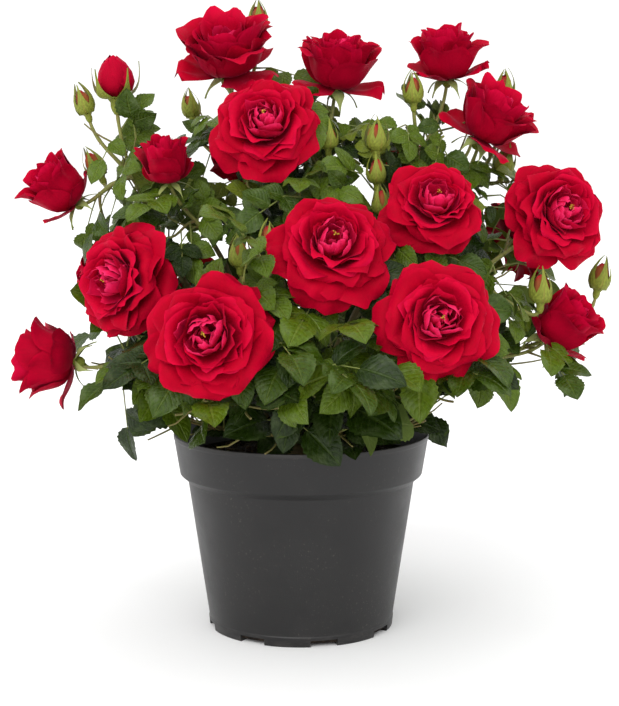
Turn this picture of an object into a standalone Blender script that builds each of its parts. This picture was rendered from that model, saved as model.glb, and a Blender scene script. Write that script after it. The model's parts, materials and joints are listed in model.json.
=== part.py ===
"""Patio rose bush in its nursery pot: pot, compost, short stem, canes, boughs and flowering masses.

Metres, +Z up, origin on the ground under the middle of the pot, front of the plant towards -Y.
A table of masses says where each limb ends and what it bears. One seeded rule grows the limbs,
the shoots up to every bloom, bud and sprig, and the five-leaflet leaves along the shoots. Anything
that would touch what has already grown is turned to another place, or left out.
"""

import math
import random
from dataclasses import dataclass, field

import bmesh
import bpy
from mathutils import Matrix, Vector
from mathutils.bvhtree import BVHTree
from mathutils.geometry import interpolate_bezier

GAP = 0.0003  # between solids that rest on or meet each other
UP = Vector((0.0, 0.0, 1.0))

# ---- pot and compost -----------------------------------------------------------------------------
POT_HEIGHT = 0.130
POT_RIM_RADIUS = 0.085
POT_BAND_FOOT = (0.0808, 0.1035)  # radius and height of the rim band's lower edge
POT_SHOULDER = (0.0755, 0.0990)  # where the tapered body begins under the band
POT_BASE_RADIUS = 0.0615
POT_WALL = 0.0018
LEDGE_RISE = 0.46  # the ledge's inner side lies this share of the wall above its outer side
POT_LIP_ROUND = 0.0006
POT_FOOT = (0.0063, 0.0007)  # height and depth of the band round the foot
POT_STEPS = 36
NOTCHES = 8
NOTCH_SIZE = (0.030, 0.018, 0.0045)  # along the radius, across it, and up from the ground
NOTCH_TURN = math.radians(-76.0)

COMPOST_TOP = 0.113
COMPOST_HEAP = 0.004  # the compost is a little higher in the middle
COMPOST_FLAT = 0.016  # radius of the level middle, where the stem stands

# ---- stem, canes, boughs and twigs ---------------------------------------------------------------
STEM_FLARE = (0.0125, 0.002)  # radius and height of the stem's foot
KNUCKLE_RADIUS = 0.0140  # the round head of the stem, where the canes spring
KNUCKLE_HEIGHT = 0.0115  # its middle, above the compost
KNUCKLE_RINGS = (66, 42, 18, -6, -30)  # degrees above its middle
STEM_STEPS = 14
CANE_RADII = (0.0034, 0.0021)
BOUGH_RADII = (0.0022, 0.0016)
SHOOT_RADII = (0.0015, 0.0011)
SPRIG_RADII = (0.0012, 0.0007)
COLLAR = 0.0018  # a limb starts with a straight stretch, square to what it springs from
LIMB_SIDES, LIMB_POINTS = 5, 7
TWIG_SIDES, TWIG_POINTS = 3, 5
CURVE_REACH = 0.38  # how far a path holds its first and last way, as a share of its length
FORK_PLACES = (0.35, 0.85)  # twigs may fork at these shares of each stretch of a shoot
FORK_LIMIT = 0.6  # and below this share of a shoot that ends in a flower
BEST_FORK, WIDEST_FORK = 35, 80  # degrees between a twig and the shoot that it leaves
FORK_CHOICES = 8
TRIES = 60
WIDEST_STRAY = 1.6  # how far the last try at a path strays from the straightest

# ---- leaves --------------------------------------------------------------------------------------
LEAFLET_LENGTHS = ((0.130, 0.040), (0.350, 0.029))  # height in the crown, and a leaflet's length there
LEAFLET_WIDTH = 0.70
LEAFLET_WIDEST = 0.42  # of its length, from its base
LEAFLET_NECK = 0.0008  # half the stretch of stalk that a leaflet springs from
FEWEST_LEAFLETS = 3
STALK_LENGTH = (1.20, 1.56)  # a leaf's stalk, in leaflet lengths
STALK_SAG = (0.15, 0.45)
STALK_RADII = (0.0008, 0.0006)
PAIRS = ((0.46, 0.80), (0.80, 0.92))  # place on the stalk and size of each pair of leaflets
BEND = PAIRS[0][0]  # the stalk sags from here
PAIR_ANGLE = math.radians(62)
LEAF_LIFT, LEAF_OUT, LEAF_STRAY = 0.55, 0.80, 0.35  # leaves face up and outwards, and vary
STALK_RUN, STALK_ASIDE, STALK_OUT = 0.45, 0.80, 0.45  # along the shoot, away from it and outwards
STALK_STRAY = 0.12
LEAF_SPACING = 0.025
LEAFY_SHARE = 0.66  # a flower's shoot is bare above this share of its length
GOLDEN_ANGLE = math.radians(137.5)
LEAF_TRIES = 5
CLEARANCE = 0.0007
SEED = 11

# height, and how far leaves reach from the pot's axis there
CROWN = ((0.090, 0.118), (0.120, 0.130), (0.150, 0.165), (0.175, 0.190), (0.230, 0.188), (0.265, 0.180),
         (0.300, 0.155), (0.340, 0.125), (0.365, 0.080))
VIEW_LEAN = 0.10  # blooms are kept open to a side this far in front of straight outwards
FACE_SHARE = 0.52  # of a bloom's spread: the radius kept open before its face

# ---- flowers: rows of radius, height and depth of lobing, in shares of the spread ----------------
FULL_ROWS = ((0.05, -0.30, 0.0), (0.27, -0.24, 0.03), (0.463, -0.13, 0.08), (0.335, -0.02, 0.05),
             (0.355, 0.09, -0.10), (0.19, 0.13, 0.0), (0.05, 0.16, 0.0))
URN_ROWS = ((0.08, -0.55, 0.0), (0.39, -0.36, 0.02), (0.480, -0.03, 0.04), (0.43, 0.26, 0.06),
            (0.34, 0.28, -0.05), (0.27, 0.41, -0.08), (0.06, 0.40, 0.0))
BUD_ROWS = ((0.12, -0.75, 0.0), (0.50, -0.40, 0.0), (0.46, 0.15, 0.0), (0.20, 0.75, 0.0), (0.03, 1.05, 0.0))
URN_OPENING = 0.35  # how far a bloom with the urn's rows has opened
STALK_SUNK = 0.06  # the stalk reaches this far into a flower
BLOOM_SIDES = 10
BUD_SIDES = 5


@dataclass
class Flower:
    """A bloom or bud: its middle, its spread across, where it faces and how far it has opened."""

    at: tuple
    spread: float
    azimuth: float  # degrees: 0 faces -Y, 90 faces +X
    rise: float  # degrees above level
    opening: float  # 0 a closed bud, 1 full blown

    @property
    def middle(self):
        return Vector(self.at)

    @property
    def facing(self):
        turn, rise = math.radians(self.azimuth), math.radians(self.rise)
        return Vector((math.sin(turn) * math.cos(rise), -math.cos(turn) * math.cos(rise), math.sin(rise)))

    @property
    def rows(self):
        if self.opening == 0:
            return BUD_ROWS
        share = (self.opening - URN_OPENING) / (1 - URN_OPENING)
        return [tuple(u + (f - u) * share for u, f in zip(urn, full))
                for urn, full in zip(URN_ROWS, FULL_ROWS)]

    @property
    def base(self):
        """The receptacle, where the stalk arrives."""
        return self.middle + self.facing * self.spread * (self.rows[0][1] + STALK_SUNK)


@dataclass
class Limb:
    """A tapering cane, bough or twig: its path and its radius at each end."""

    name: str
    path: list
    radii: tuple
    sides: int
    flower: Flower = None

    def body(self, swell=0.0):
        return sweep(self.path, self.radii, self.sides, swell)

    def at(self, share):
        """The point and the run at this share of the way along."""
        place = share * (len(self.path) - 1)
        step = min(int(place), len(self.path) - 2)
        start, end = self.path[step], self.path[step + 1]
        return start.lerp(end, place - step), (end - start).normalized()

    def radius(self, share):
        return self.radii[0] + (self.radii[1] - self.radii[0]) * share


@dataclass
class Mass:
    """A limb and the shoots, flowers and leaves that it carries."""

    name: str
    tip: tuple  # where the limb ends and the mass begins
    flowers: list
    sprigs: list  # where leafy twigs without a flower end
    turn: float = 0.0  # a cane's place round the stem, degrees from -Y towards +X
    tilt: float = 40.0  # a cane's lean as it leaves the stem, degrees from upright
    parent: str = ""  # a bough springs from this cane, at this share of its length
    along: float = 0.0
    shoots: list = field(default_factory=list)


def bloom(x, y, z, spread, azimuth, rise, opening=1.0):
    return Flower((x, y, z), spread, azimuth, rise, opening)


def bud(x, y, z, azimuth=0.0, rise=78.0, spread=0.013):
    return Flower((x, y, z), spread, azimuth, rise, 0.0)


MASSES = [
    Mass("left_top", (-0.088, 0.010, 0.250), turn=-100, tilt=54, flowers=[
        bud(-0.121, -0.010, 0.362, -40, 82, 0.022), bud(-0.141, -0.006, 0.347, -60, 70),
        bloom(-0.166, 0.000, 0.299, 0.050, -68, 42, 0.5), bud(-0.138, 0.026, 0.306, -70, 62, 0.014)],
         sprigs=[(-0.128, 0.012, 0.262)]),
    Mass("left_mid", (-0.076, -0.030, 0.190), turn=-55, tilt=54, flowers=[
        bloom(-0.115, -0.078, 0.237, 0.070, -38, 6), bloom(-0.174, -0.022, 0.181, 0.058, -92, 2, 0.6)],
         sprigs=[(-0.116, -0.008, 0.168), (-0.104, -0.060, 0.176), (-0.120, -0.004, 0.212)]),
    Mass("front_left", (-0.040, -0.082, 0.166), parent="left_mid", along=0.35, flowers=[
        bloom(-0.054, -0.148, 0.211, 0.076, -6, 12)],
         sprigs=[(-0.076, -0.104, 0.158), (-0.030, -0.118, 0.158), (-0.068, -0.096, 0.205)]),
    Mass("upper_left", (-0.056, -0.026, 0.256), parent="left_top", along=0.5, flowers=[
        bloom(-0.086, -0.042, 0.317, 0.039, -30, 74, 0.4)],
         sprigs=[(-0.082, -0.046, 0.262)]),
    Mass("top_left", (-0.034, 0.012, 0.286), turn=-140, tilt=20, flowers=[
        bloom(-0.049, 0.010, 0.385, 0.080, -12, 62), bud(-0.029, 0.045, 0.404, 0, 84)],
         sprigs=[(-0.066, 0.004, 0.322)]),
    Mass("front_top", (-0.012, -0.036, 0.258), turn=-20, tilt=20, flowers=[
        bloom(-0.022, -0.070, 0.335, 0.070, -6, 30)],
         sprigs=[(0.012, -0.070, 0.290)]),
    Mass("front_mid", (0.008, -0.076, 0.190), turn=-10, tilt=54, flowers=[
        bloom(0.019, -0.122, 0.264, 0.074, 6, 28), bud(-0.037, -0.106, 0.255, -20, 80),
        bud(-0.019, -0.106, 0.264, 5, 84, 0.012)],
         sprigs=[(-0.014, -0.118, 0.206), (0.034, -0.116, 0.196), (0.006, -0.128, 0.176)]),
    Mass("front_right", (0.056, -0.078, 0.168), turn=35, tilt=54, flowers=[
        bloom(0.080, -0.140, 0.220, 0.070, 6, 10)],
         sprigs=[(0.044, -0.120, 0.172), (0.092, -0.104, 0.166), (0.098, -0.086, 0.206)]),
    Mass("upper_right", (0.052, -0.040, 0.230), parent="top_right", along=0.4, flowers=[
        bloom(0.082, -0.088, 0.287, 0.063, 6, 34), bud(0.047, -0.052, 0.324, 0, 86, 0.014),
        bud(0.049, -0.068, 0.284, -10, 76, 0.012)],
         sprigs=[(0.050, -0.078, 0.254)]),
    Mass("right", (0.100, -0.026, 0.224), turn=80, tilt=54, flowers=[
        bloom(0.166, -0.040, 0.279, 0.070, 25, 15), bud(0.152, -0.046, 0.229, 10, 84, 0.015)],
         sprigs=[(0.136, -0.004, 0.262)]),
    Mass("right_low", (0.096, -0.016, 0.170), parent="right", along=0.30, flowers=[
        bloom(0.177, -0.030, 0.213, 0.052, 62, 42, 0.5), bud(0.198, 0.002, 0.233, 50, 76, 0.0145)],
         sprigs=[(0.140, -0.032, 0.168), (0.146, 0.010, 0.184), (0.112, -0.056, 0.176)]),
    Mass("top_mid", (0.014, 0.000, 0.284), parent="top_left", along=0.45, flowers=[
        bloom(0.025, 0.000, 0.381, 0.065, 20, 72, 0.8), bud(0.017, -0.045, 0.324, -10, 86, 0.012)],
         sprigs=[(-0.006, -0.014, 0.330)]),
    Mass("top_right", (0.062, 0.000, 0.276), turn=100, tilt=20, flowers=[
        bloom(0.096, 0.010, 0.388, 0.055, -5, 76, 0.62), bud(0.072, -0.018, 0.354, -20, 84, 0.013),
        bud(0.047, -0.058, 0.303, -10, 82, 0.012)],
         sprigs=[(0.092, -0.004, 0.328)]),
    Mass("right_top", (0.096, 0.026, 0.262), turn=125, tilt=54, flowers=[
        bloom(0.127, -0.010, 0.344, 0.065, 55, 58, 0.85), bud(0.135, 0.014, 0.309, 50, 76, 0.014),
        bud(0.137, 0.037, 0.358, 40, 84)],
         sprigs=[(0.112, 0.006, 0.302)]),
    Mass("back_right", (0.078, 0.058, 0.196), parent="right_top", along=0.3, flowers=[
        bloom(0.100, 0.120, 0.212, 0.064, 150, 12), bloom(0.160, 0.074, 0.256, 0.060, 108, 24)],
         sprigs=[(0.118, 0.058, 0.178), (0.060, 0.112, 0.178)]),
    Mass("back_high", (0.064, 0.052, 0.250), parent="right_top", along=0.5, flowers=[
        bloom(0.080, 0.088, 0.306, 0.058, 155, 44, 0.9), bud(0.122, 0.072, 0.334, 120, 72)],
         sprigs=[(0.048, 0.096, 0.262)]),
    Mass("back", (0.008, 0.080, 0.186), turn=170, tilt=54, flowers=[
        bloom(0.022, 0.142, 0.246, 0.070, 172, 20), bud(0.000, 0.118, 0.290, 180, 78)],
         sprigs=[(-0.020, 0.122, 0.198), (0.040, 0.128, 0.180)]),
    Mass("back_top", (-0.022, 0.054, 0.262), parent="back", along=0.45, flowers=[
        bloom(-0.032, 0.088, 0.324, 0.064, -170, 48, 0.9), bud(-0.076, 0.064, 0.346, -140, 76)],
         sprigs=[(0.008, 0.084, 0.298)]),
    Mass("back_left", (-0.052, 0.072, 0.182), turn=-145, tilt=54, flowers=[
        bloom(-0.064, 0.134, 0.208, 0.070, -166, 12), bud(-0.106, 0.112, 0.258, -150, 72)],
         sprigs=[(-0.092, 0.092, 0.160), (-0.040, 0.114, 0.160)]),
    Mass("left_back", (-0.086, 0.044, 0.196), parent="back_left", along=0.45, flowers=[
        bloom(-0.140, 0.070, 0.236, 0.064, -122, 22, 0.9)],
         sprigs=[(-0.112, 0.064, 0.262), (-0.124, 0.034, 0.216)]),
    Mass("skirt_front", (), turn=12, tilt=86, flowers=[],
         sprigs=[(-0.012, -0.086, 0.146), (0.026, -0.088, 0.146), (-0.048, -0.076, 0.144)]),
    Mass("skirt_right", (), turn=58, tilt=86, flowers=[],
         sprigs=[(0.080, -0.040, 0.144), (0.086, 0.004, 0.146), (0.056, -0.070, 0.144)]),
    Mass("skirt_left", (), turn=-78, tilt=86, flowers=[],
         sprigs=[(-0.082, -0.036, 0.146), (-0.088, 0.006, 0.144), (-0.062, 0.052, 0.142)]),
    Mass("skirt_back", (), turn=148, tilt=86, flowers=[],
         sprigs=[(-0.014, 0.086, 0.142), (0.034, 0.084, 0.144), (0.068, 0.052, 0.142)]),
]


# ---- shapes --------------------------------------------------------------------------------------
def loft(rings):
    """A closed body through rings of points, capped at both ends."""
    bm = bmesh.new()
    rows = [[bm.verts.new(point) for point in ring] for ring in rings]
    sides = len(rows[0])
    for lower, upper in zip(rows, rows[1:]):
        for i in range(sides):
            j = (i + 1) % sides
            bm.faces.new((lower[i], lower[j], upper[j], upper[i]))
    bm.faces.new(rows[0][::-1])
    bm.faces.new(rows[-1])
    return bm


def sweep(path, radii, sides, swell=0.0):
    """A tapering limb along a path, from the first radius to the second."""
    rings = []
    side = (path[1] - path[0]).orthogonal().normalized()
    for i, point in enumerate(path):
        way = (path[min(i + 1, len(path) - 1)] - path[max(i - 1, 0)]).normalized()
        side = (side - way * side.dot(way)).normalized()
        other = way.cross(side)
        radius = radii[0] + (radii[1] - radii[0]) * i / (len(path) - 1) + swell
        turns = [2 * math.pi * k / sides for k in range(sides)]
        rings.append([point + (side * math.cos(turn) + other * math.sin(turn)) * radius for turn in turns])
    return loft(rings)


def flower_body(flower, swell=0.0):
    """A bloom or bud as stacked rows of petal tips, lobed where the petals' edges show."""
    sides = BLOOM_SIDES if flower.opening else BUD_SIDES
    across = flower.facing.orthogonal().normalized()
    other = flower.facing.cross(across)
    rings = []
    for radius, height, lobe in flower.rows:
        ring = []
        for k in range(sides):
            turn = 2 * math.pi * k / sides
            reach = flower.spread * radius * (1 + lobe * (1 if k % 2 else -1)) + swell
            way = across * math.cos(turn) + other * math.sin(turn)
            ring.append(flower.middle + way * reach + flower.facing * flower.spread * height)
        rings.append(ring)
    return loft(rings)


def blade_room(base, way, normal, length):
    """The space that a leaflet needs, a little more than its own."""
    bm = bmesh.new()
    bmesh.ops.create_cone(bm, cap_ends=True, segments=4, radius1=0.5, radius2=0.5, depth=1.0)
    for vert in bm.verts:
        if abs(vert.co.y) > abs(vert.co.x):
            vert.co.x -= 0.5 - LEAFLET_WIDEST
    side = normal.cross(way).normalized()
    sizes = (length + CLEARANCE, length * LEAFLET_WIDTH + 2 * CLEARANCE, 2 * STALK_RADII[0] + CLEARANCE)
    columns = [axis * size for axis, size in zip((way, side, way.cross(side)), sizes)]
    frame = Matrix(columns).transposed().to_4x4()
    frame.translation = base + way * (length / 2 + CLEARANCE * 3)
    bm.transform(frame)
    return bm


@dataclass
class Leaf:
    """A leaf: its stalk, the way it faces, and its leaflets as (share of the stalk, way, length)."""

    stalk: list  # root, bend and end
    normal: Vector
    leaflets: list = field(default_factory=list)

    def point(self, share):
        root, bend, end = self.stalk
        return root.lerp(bend, share / BEND) if share < BEND else bend.lerp(end, (share - BEND) / (1 - BEND))

    def way(self, share):
        root, bend, end = self.stalk
        return ((bend - root) if share < BEND else (end - bend)).normalized()

    def section(self, share):
        """The stalk's three corners here: left and right above, and the keel below."""
        way = self.way(share)
        side = self.normal.cross(way).normalized()
        face = way.cross(side)
        radius = STALK_RADII[0] + (STALK_RADII[1] - STALK_RADII[0]) * share
        ways = [side * math.cos(turn) + face * math.sin(turn) for turn in map(math.radians, (30, 150, 270))]
        return [self.point(share) + way * radius for way in ways]


def blade_edge(bm, heart, leaflet_way, edge_way, length):
    """The front, back and tip of a leaflet that springs from its heart."""
    widest = heart + leaflet_way * length * LEAFLET_WIDEST
    half = edge_way * length * LEAFLET_WIDTH / 2
    return [bm.verts.new(point) for point in (widest + half, widest - half, heart + leaflet_way * length)]


def draw_blade(bm, upper, lower, edge):
    """A thin blade of eight faces from two upper and two lower corners of the stalk's flank."""
    front, back, tip = edge
    for near, far in (upper, lower):
        bm.faces.new((near, far, front))
        bm.faces.new((near, front, tip))
        bm.faces.new((near, tip, back))
    bm.faces.new((upper[1], lower[1], front))
    bm.faces.new((upper[0], lower[0], back))


def draw_end_blade(bm, corners, edge):
    """The last leaflet, from the three corners of the stalk's end."""
    left, right, keel = corners
    front, back, tip = edge
    for face in ((left, right, back), (left, back, tip), (left, tip, front), (keel, front, tip),
                 (keel, tip, back), (left, keel, front), (right, keel, back)):
        bm.faces.new(face)


def leaf_body(leaf):
    """A three-sided stalk with its leaflets drawn out of short stretches of its flanks."""
    bm = bmesh.new()
    neck = LEAFLET_NECK / (leaf.stalk[2] - leaf.stalk[0]).length
    shares = [0.0] + [share + move for share, _ in PAIRS for move in (-neck, neck)] + [1.0]
    rows = [[bm.verts.new(corner) for corner in leaf.section(share)] for share in shares]
    flanks = {}
    for share, way, length in leaf.leaflets[1:]:
        row = sum(place < share for place in shares) - 1
        left = leaf.normal.cross(leaf.way(share)).dot(way) > 0
        flanks[row, 0 if left else 1] = (way, length)
    bm.faces.new(rows[0])
    for row, (lower, upper) in enumerate(zip(rows, rows[1:])):
        bm.faces.new((lower[0], lower[1], upper[1], upper[0]))
        for flank, hand in ((0, 1), (1, -1)):
            corners = (lower[flank], upper[flank], upper[2], lower[2])
            if (row, flank) not in flanks:
                bm.faces.new(corners)
                continue
            way, length = flanks[row, flank]
            heart = sum((vert.co for vert in corners), Vector()) / len(corners)
            edge = blade_edge(bm, heart, way, way.cross(leaf.normal).normalized() * hand, length)
            draw_blade(bm, corners[:2], corners[:1:-1], edge)
    _, way, length = leaf.leaflets[0]
    heart = sum((vert.co for vert in rows[-1]), Vector()) / len(rows[-1])
    edge = blade_edge(bm, heart, way, leaf.normal.cross(way).normalized(), length)
    draw_end_blade(bm, rows[-1], edge)
    bmesh.ops.recalc_face_normals(bm, faces=bm.faces)
    return bm


# ---- growth --------------------------------------------------------------------------------------
class Space:
    """What has grown so far, which new growth keeps clear of."""

    def __init__(self):
        self.taken = []

    @staticmethod
    def box(bm):
        lows = [min(vert.co[axis] for vert in bm.verts) for axis in range(3)]
        highs = [max(vert.co[axis] for vert in bm.verts) for axis in range(3)]
        return lows, highs

    def add(self, bm, owner):
        self.taken.append((owner, *self.box(bm), BVHTree.FromBMesh(bm)))

    def free(self, bm, friends=()):
        """Whether a body, drawn a little swollen, touches nothing but its friends."""
        low, high = self.box(bm)
        tree = BVHTree.FromBMesh(bm)
        for owner, other_low, other_high, other_tree in self.taken:
            near = all(low[axis] <= other_high[axis] and other_low[axis] <= high[axis] for axis in range(3))
            if near and owner not in friends and tree.overlap(other_tree):
                return False
        return True


def nudge(dice, amount):
    return Vector([dice.uniform(-amount, amount) for _ in range(3)])


def between(pair, share):
    return pair[0] + (pair[1] - pair[0]) * share


def find_limb(space, dice, limb, ends, points, friends, collar):
    """Gives a limb the straightest smooth path between two ends that is clear of what has grown.

    With a collar it starts with a short straight stretch. Returns whether there was a way."""
    start, start_way, end, end_way = ends
    begin = start + start_way * collar
    reach = (end - begin).length * CURVE_REACH
    for attempt in range(TRIES):
        stray = attempt / TRIES * WIDEST_STRAY
        leave = (start_way + nudge(dice, stray / 2)).normalized()
        arrive = (end_way + nudge(dice, stray)).normalized()
        path = interpolate_bezier(begin, begin + leave * reach, end - arrive * reach, end, points)
        limb.path = [start] + path if collar else path
        if space.free(limb.body(CLEARANCE), friends):
            return True
    return False


def knuckle_spring(mass):
    """Where a cane or a low mass leaves the head of the stem, and which way."""
    turn, tilt = math.radians(mass.turn), math.radians(mass.tilt)
    way = Vector((math.sin(turn) * math.sin(tilt), -math.cos(turn) * math.sin(tilt), math.cos(tilt)))
    middle = Vector((0.0, 0.0, COMPOST_TOP + COMPOST_HEAP + GAP + KNUCKLE_HEIGHT))
    return middle + way * (KNUCKLE_RADIUS + GAP), way


def grow_limb(space, mass, limbs):
    """The cane or bough under a mass."""
    dice = random.Random(f"{SEED} limb {mass.name}")
    tip = Vector(mass.tip)
    ends = [flower.base for flower in mass.flowers] + [Vector(sprig) for sprig in mass.sprigs]
    heart = sum(ends, Vector()) / len(ends)
    tip_way = ((heart - tip).normalized() + UP / 2).normalized()
    if mass.parent:
        parent = limbs[mass.parent]
        joint, run = parent.at(mass.along)
        away = tip - joint
        way = (away - run * away.dot(run)).normalized()
        start = joint + way * (parent.radius(mass.along) + GAP)
        limb = Limb(f"bough_{mass.name}", [], BOUGH_RADII, LIMB_SIDES)
        friends = {parent.name}
    else:
        start, way = knuckle_spring(mass)
        limb = Limb(f"cane_{mass.name}", [], CANE_RADII, LIMB_SIDES)
        friends = {"stem"}
    if not find_limb(space, dice, limb, (start, way, tip, tip_way), LIMB_POINTS, friends, COLLAR):
        raise ValueError(f"no way for {limb.name}")
    space.add(limb.body(), limb.name)
    return limb


def fork_places(shoots, end):
    """Places on these shoots that a twig to this end may leave from, the handiest first."""
    found = []
    for shoot in shoots:
        steps = len(shoot.path) - 1
        for step in range(steps):
            for place in FORK_PLACES:
                share = (step + place) / steps
                start, run = shoot.at(share)
                bend = math.degrees((end - start).angle(run))
                if bend < WIDEST_FORK and (share < FORK_LIMIT or not shoot.flower):
                    cost = (end - start).length * (1 + abs(bend - BEST_FORK) / WIDEST_FORK)
                    found.append((cost, start, run, shoot.name))
    return sorted(found)[:FORK_CHOICES]


def grow_shoots(space, mass, root, way, limb_name):
    """The leader of a mass, then a twig to each other flower and sprig, each from one before it."""
    dice = random.Random(f"{SEED} shoots {mass.name}")
    targets = [(flower.base, flower) for flower in mass.flowers]
    targets += [(Vector(end), None) for end in mass.sprigs]
    for end, flower in targets:
        name = f"shoot {mass.name} {len(mass.shoots)}"
        shoot = Limb(name, [], SHOOT_RADII if flower else SPRIG_RADII, TWIG_SIDES, flower)
        forks = fork_places(mass.shoots, end) if mass.shoots else [(0.0, root, way, limb_name)]
        for _, start, run, parent in forks:
            towards = (end - start).normalized()
            leave = (towards + run / 2).normalized() if mass.shoots else way
            arrive = (flower.facing + UP / 2 if flower else towards + UP / 5).normalized()
            friends = {parent, f"flower {flower.at}" if flower else ""}
            collar = 0.0 if mass.shoots else COLLAR
            if find_limb(space, dice, shoot, (start, leave, end, arrive), TWIG_POINTS, friends, collar):
                space.add(shoot.body(), name)
                mass.shoots.append(shoot)
                break


def in_crown(point):
    for (low, near), (high, far) in zip(CROWN, CROWN[1:]):
        if low <= point.z <= high:
            return point.xy.length <= between((near, far), (point.z - low) / (high - low))
    return False


def hides_flower(point):
    """Whether a point lies right in front of an open bloom."""
    for flower in (flower for mass in MASSES for flower in mass.flowers if flower.opening):
        away = point - flower.middle
        outward = Vector((flower.middle.x, flower.middle.y - VIEW_LEAN, 0.0)).normalized()
        for way in (flower.facing, outward):
            depth = away.dot(way)
            if depth > 0 and (away - way * depth).length < flower.spread * FACE_SHARE:
                return True
    return False


def has_room(space, leaf, leaflet):
    share, way, length = leaflet
    base = leaf.point(share)
    tip = base + way * length
    if not in_crown(tip) or hides_flower(tip) or hides_flower(base.lerp(tip, 0.5)):
        return False
    return space.free(blade_room(base, way, leaf.normal, length))


def leaf_way(dice, run, turn, outward, attempt):
    """Which way a leaf leaves its shoot: on from the shoot's end, or turned round its side."""
    if turn is None:
        return (run + nudge(dice, attempt / LEAF_TRIES)).normalized()
    across = run.orthogonal().normalized()
    angle = turn + attempt * GOLDEN_ANGLE / 2
    out = across * math.cos(angle) + run.cross(across) * math.sin(angle)
    way = run * STALK_RUN + out * STALK_ASIDE + outward * STALK_OUT
    return (way + nudge(dice, STALK_STRAY)).normalized()


def grow_leaf(space, dice, shoot_name, root, run, turn):
    """A leaf of up to five leaflets on one stalk, or nothing where there is no room for it."""
    (low, longest), (high, shortest) = LEAFLET_LENGTHS
    length = between((longest, shortest), min(max((root.z - low) / (high - low), 0), 1))
    outward = Vector((root.x, root.y, 0.0)).normalized()
    for attempt in range(LEAF_TRIES):
        way = leaf_way(dice, run, turn, outward, attempt)
        reach = way * length * dice.uniform(*STALK_LENGTH)
        stalk = [root, root + reach * BEND, root + reach - UP * length * dice.uniform(*STALK_SAG)]
        if not space.free(sweep(stalk, STALK_RADII, TWIG_SIDES, CLEARANCE), {shoot_name}):
            continue
        end_way = (stalk[2] - stalk[1]).normalized()
        face = UP * LEAF_LIFT + outward * LEAF_OUT + nudge(dice, LEAF_STRAY)
        leaf = Leaf(stalk, (face - end_way * face.dot(end_way)).normalized())
        side = leaf.normal.cross(end_way)
        leaf.leaflets.append((1.0, end_way, length))
        for share, size in PAIRS:
            for hand in (-1, 1):
                spread = end_way * math.cos(PAIR_ANGLE) + side * math.sin(PAIR_ANGLE) * hand
                spread += nudge(dice, STALK_STRAY)
                leaf.leaflets.append((share, spread.normalized(), length * size))
        leaf.leaflets = [leaflet for leaflet in leaf.leaflets if has_room(space, leaf, leaflet)]
        whole = len(leaf.leaflets) >= FEWEST_LEAFLETS and leaf.leaflets[0][0] == 1.0
        if whole and space.free(leaf_body(leaf), {shoot_name}):
            return leaf
    return None


def leaf_roots(mass):
    """Where leaves may spring from a mass's shoots: the shoot, the place, its run and a turn round it."""
    roots = []
    for shoot in mass.shoots:
        total = sum((b - a).length for a, b in zip(shoot.path, shoot.path[1:]))
        leafy = total * (LEAFY_SHARE if shoot.flower else 1 - LEAF_SPACING / 2 / total)
        for count in range(int(leafy / LEAF_SPACING + 0.5)):
            place, run = shoot.at((count + 0.5) * LEAF_SPACING / total)
            roots.append((shoot.name, place, run, count * GOLDEN_ANGLE))
        if not shoot.flower:
            end, run = shoot.at(1.0)
            roots.insert(0, (shoot.name, end - run * SPRIG_RADII[1], run, None))
    return roots


def grow_leaves(space):
    """Leaves for every mass, one each in turn, so that none takes another's light."""
    leaves = {mass.name: [] for mass in MASSES}
    waiting = {mass.name: leaf_roots(mass) for mass in MASSES}
    while any(waiting.values()):
        for name, roots in waiting.items():
            dice = random.Random(f"{SEED} leaf {name} {len(roots)}")
            leaf = grow_leaf(space, dice, *roots.pop(0)) if roots else None
            if leaf:
                space.add(leaf_body(leaf), f"leaves {name}")
                leaves[name].append(leaf)
    return leaves


# ---- objects -------------------------------------------------------------------------------------
def clear_scene():
    for thing in list(bpy.data.objects):
        bpy.data.objects.remove(thing, do_unlink=True)


def new_collection(name):
    collection = bpy.data.collections.new(name)
    bpy.context.scene.collection.children.link(collection)
    return collection


def finish(name, colour, roughness):
    material = bpy.data.materials.new(name)
    material.use_nodes = True
    shader = material.node_tree.nodes["Principled BSDF"]
    shader.inputs["Base Color"].default_value = (*colour, 1.0)
    shader.inputs["Roughness"].default_value = roughness
    return material


def add_object(bm, name, collection, material=None):
    mesh = bpy.data.meshes.new(name)
    bm.to_mesh(mesh)
    bm.free()
    thing = bpy.data.objects.new(name, mesh)
    collection.objects.link(thing)
    if material:
        mesh.materials.append(material)
    return thing


def turned(name, profile, collection, material, steps):
    """A body turned from a profile of radius and height, drawn down its outer side."""
    bm = bmesh.new()
    verts = [bm.verts.new((radius, 0.0, height)) for radius, height in profile]
    for upper, lower in zip(verts, verts[1:]):
        bm.edges.new((upper, lower))
    thing = add_object(bm, name, collection, material)
    screw = thing.modifiers.new("turn", "SCREW")
    screw.steps = screw.render_steps = steps
    screw.use_merge_vertices = True
    screw.merge_threshold = 0.00001
    return thing


def wall_inside(clearance=0.0):
    """The pot's inner side from the floor up, as radius and height."""
    inset = POT_WALL + clearance
    rise = inset * LEDGE_RISE
    ledge = [(radius - inset, height + rise) for radius, height in (POT_SHOULDER, POT_BAND_FOOT)]
    return [(POT_BASE_RADIUS - inset, POT_WALL + clearance), *ledge, (POT_RIM_RADIUS - inset, POT_HEIGHT)]


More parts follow.
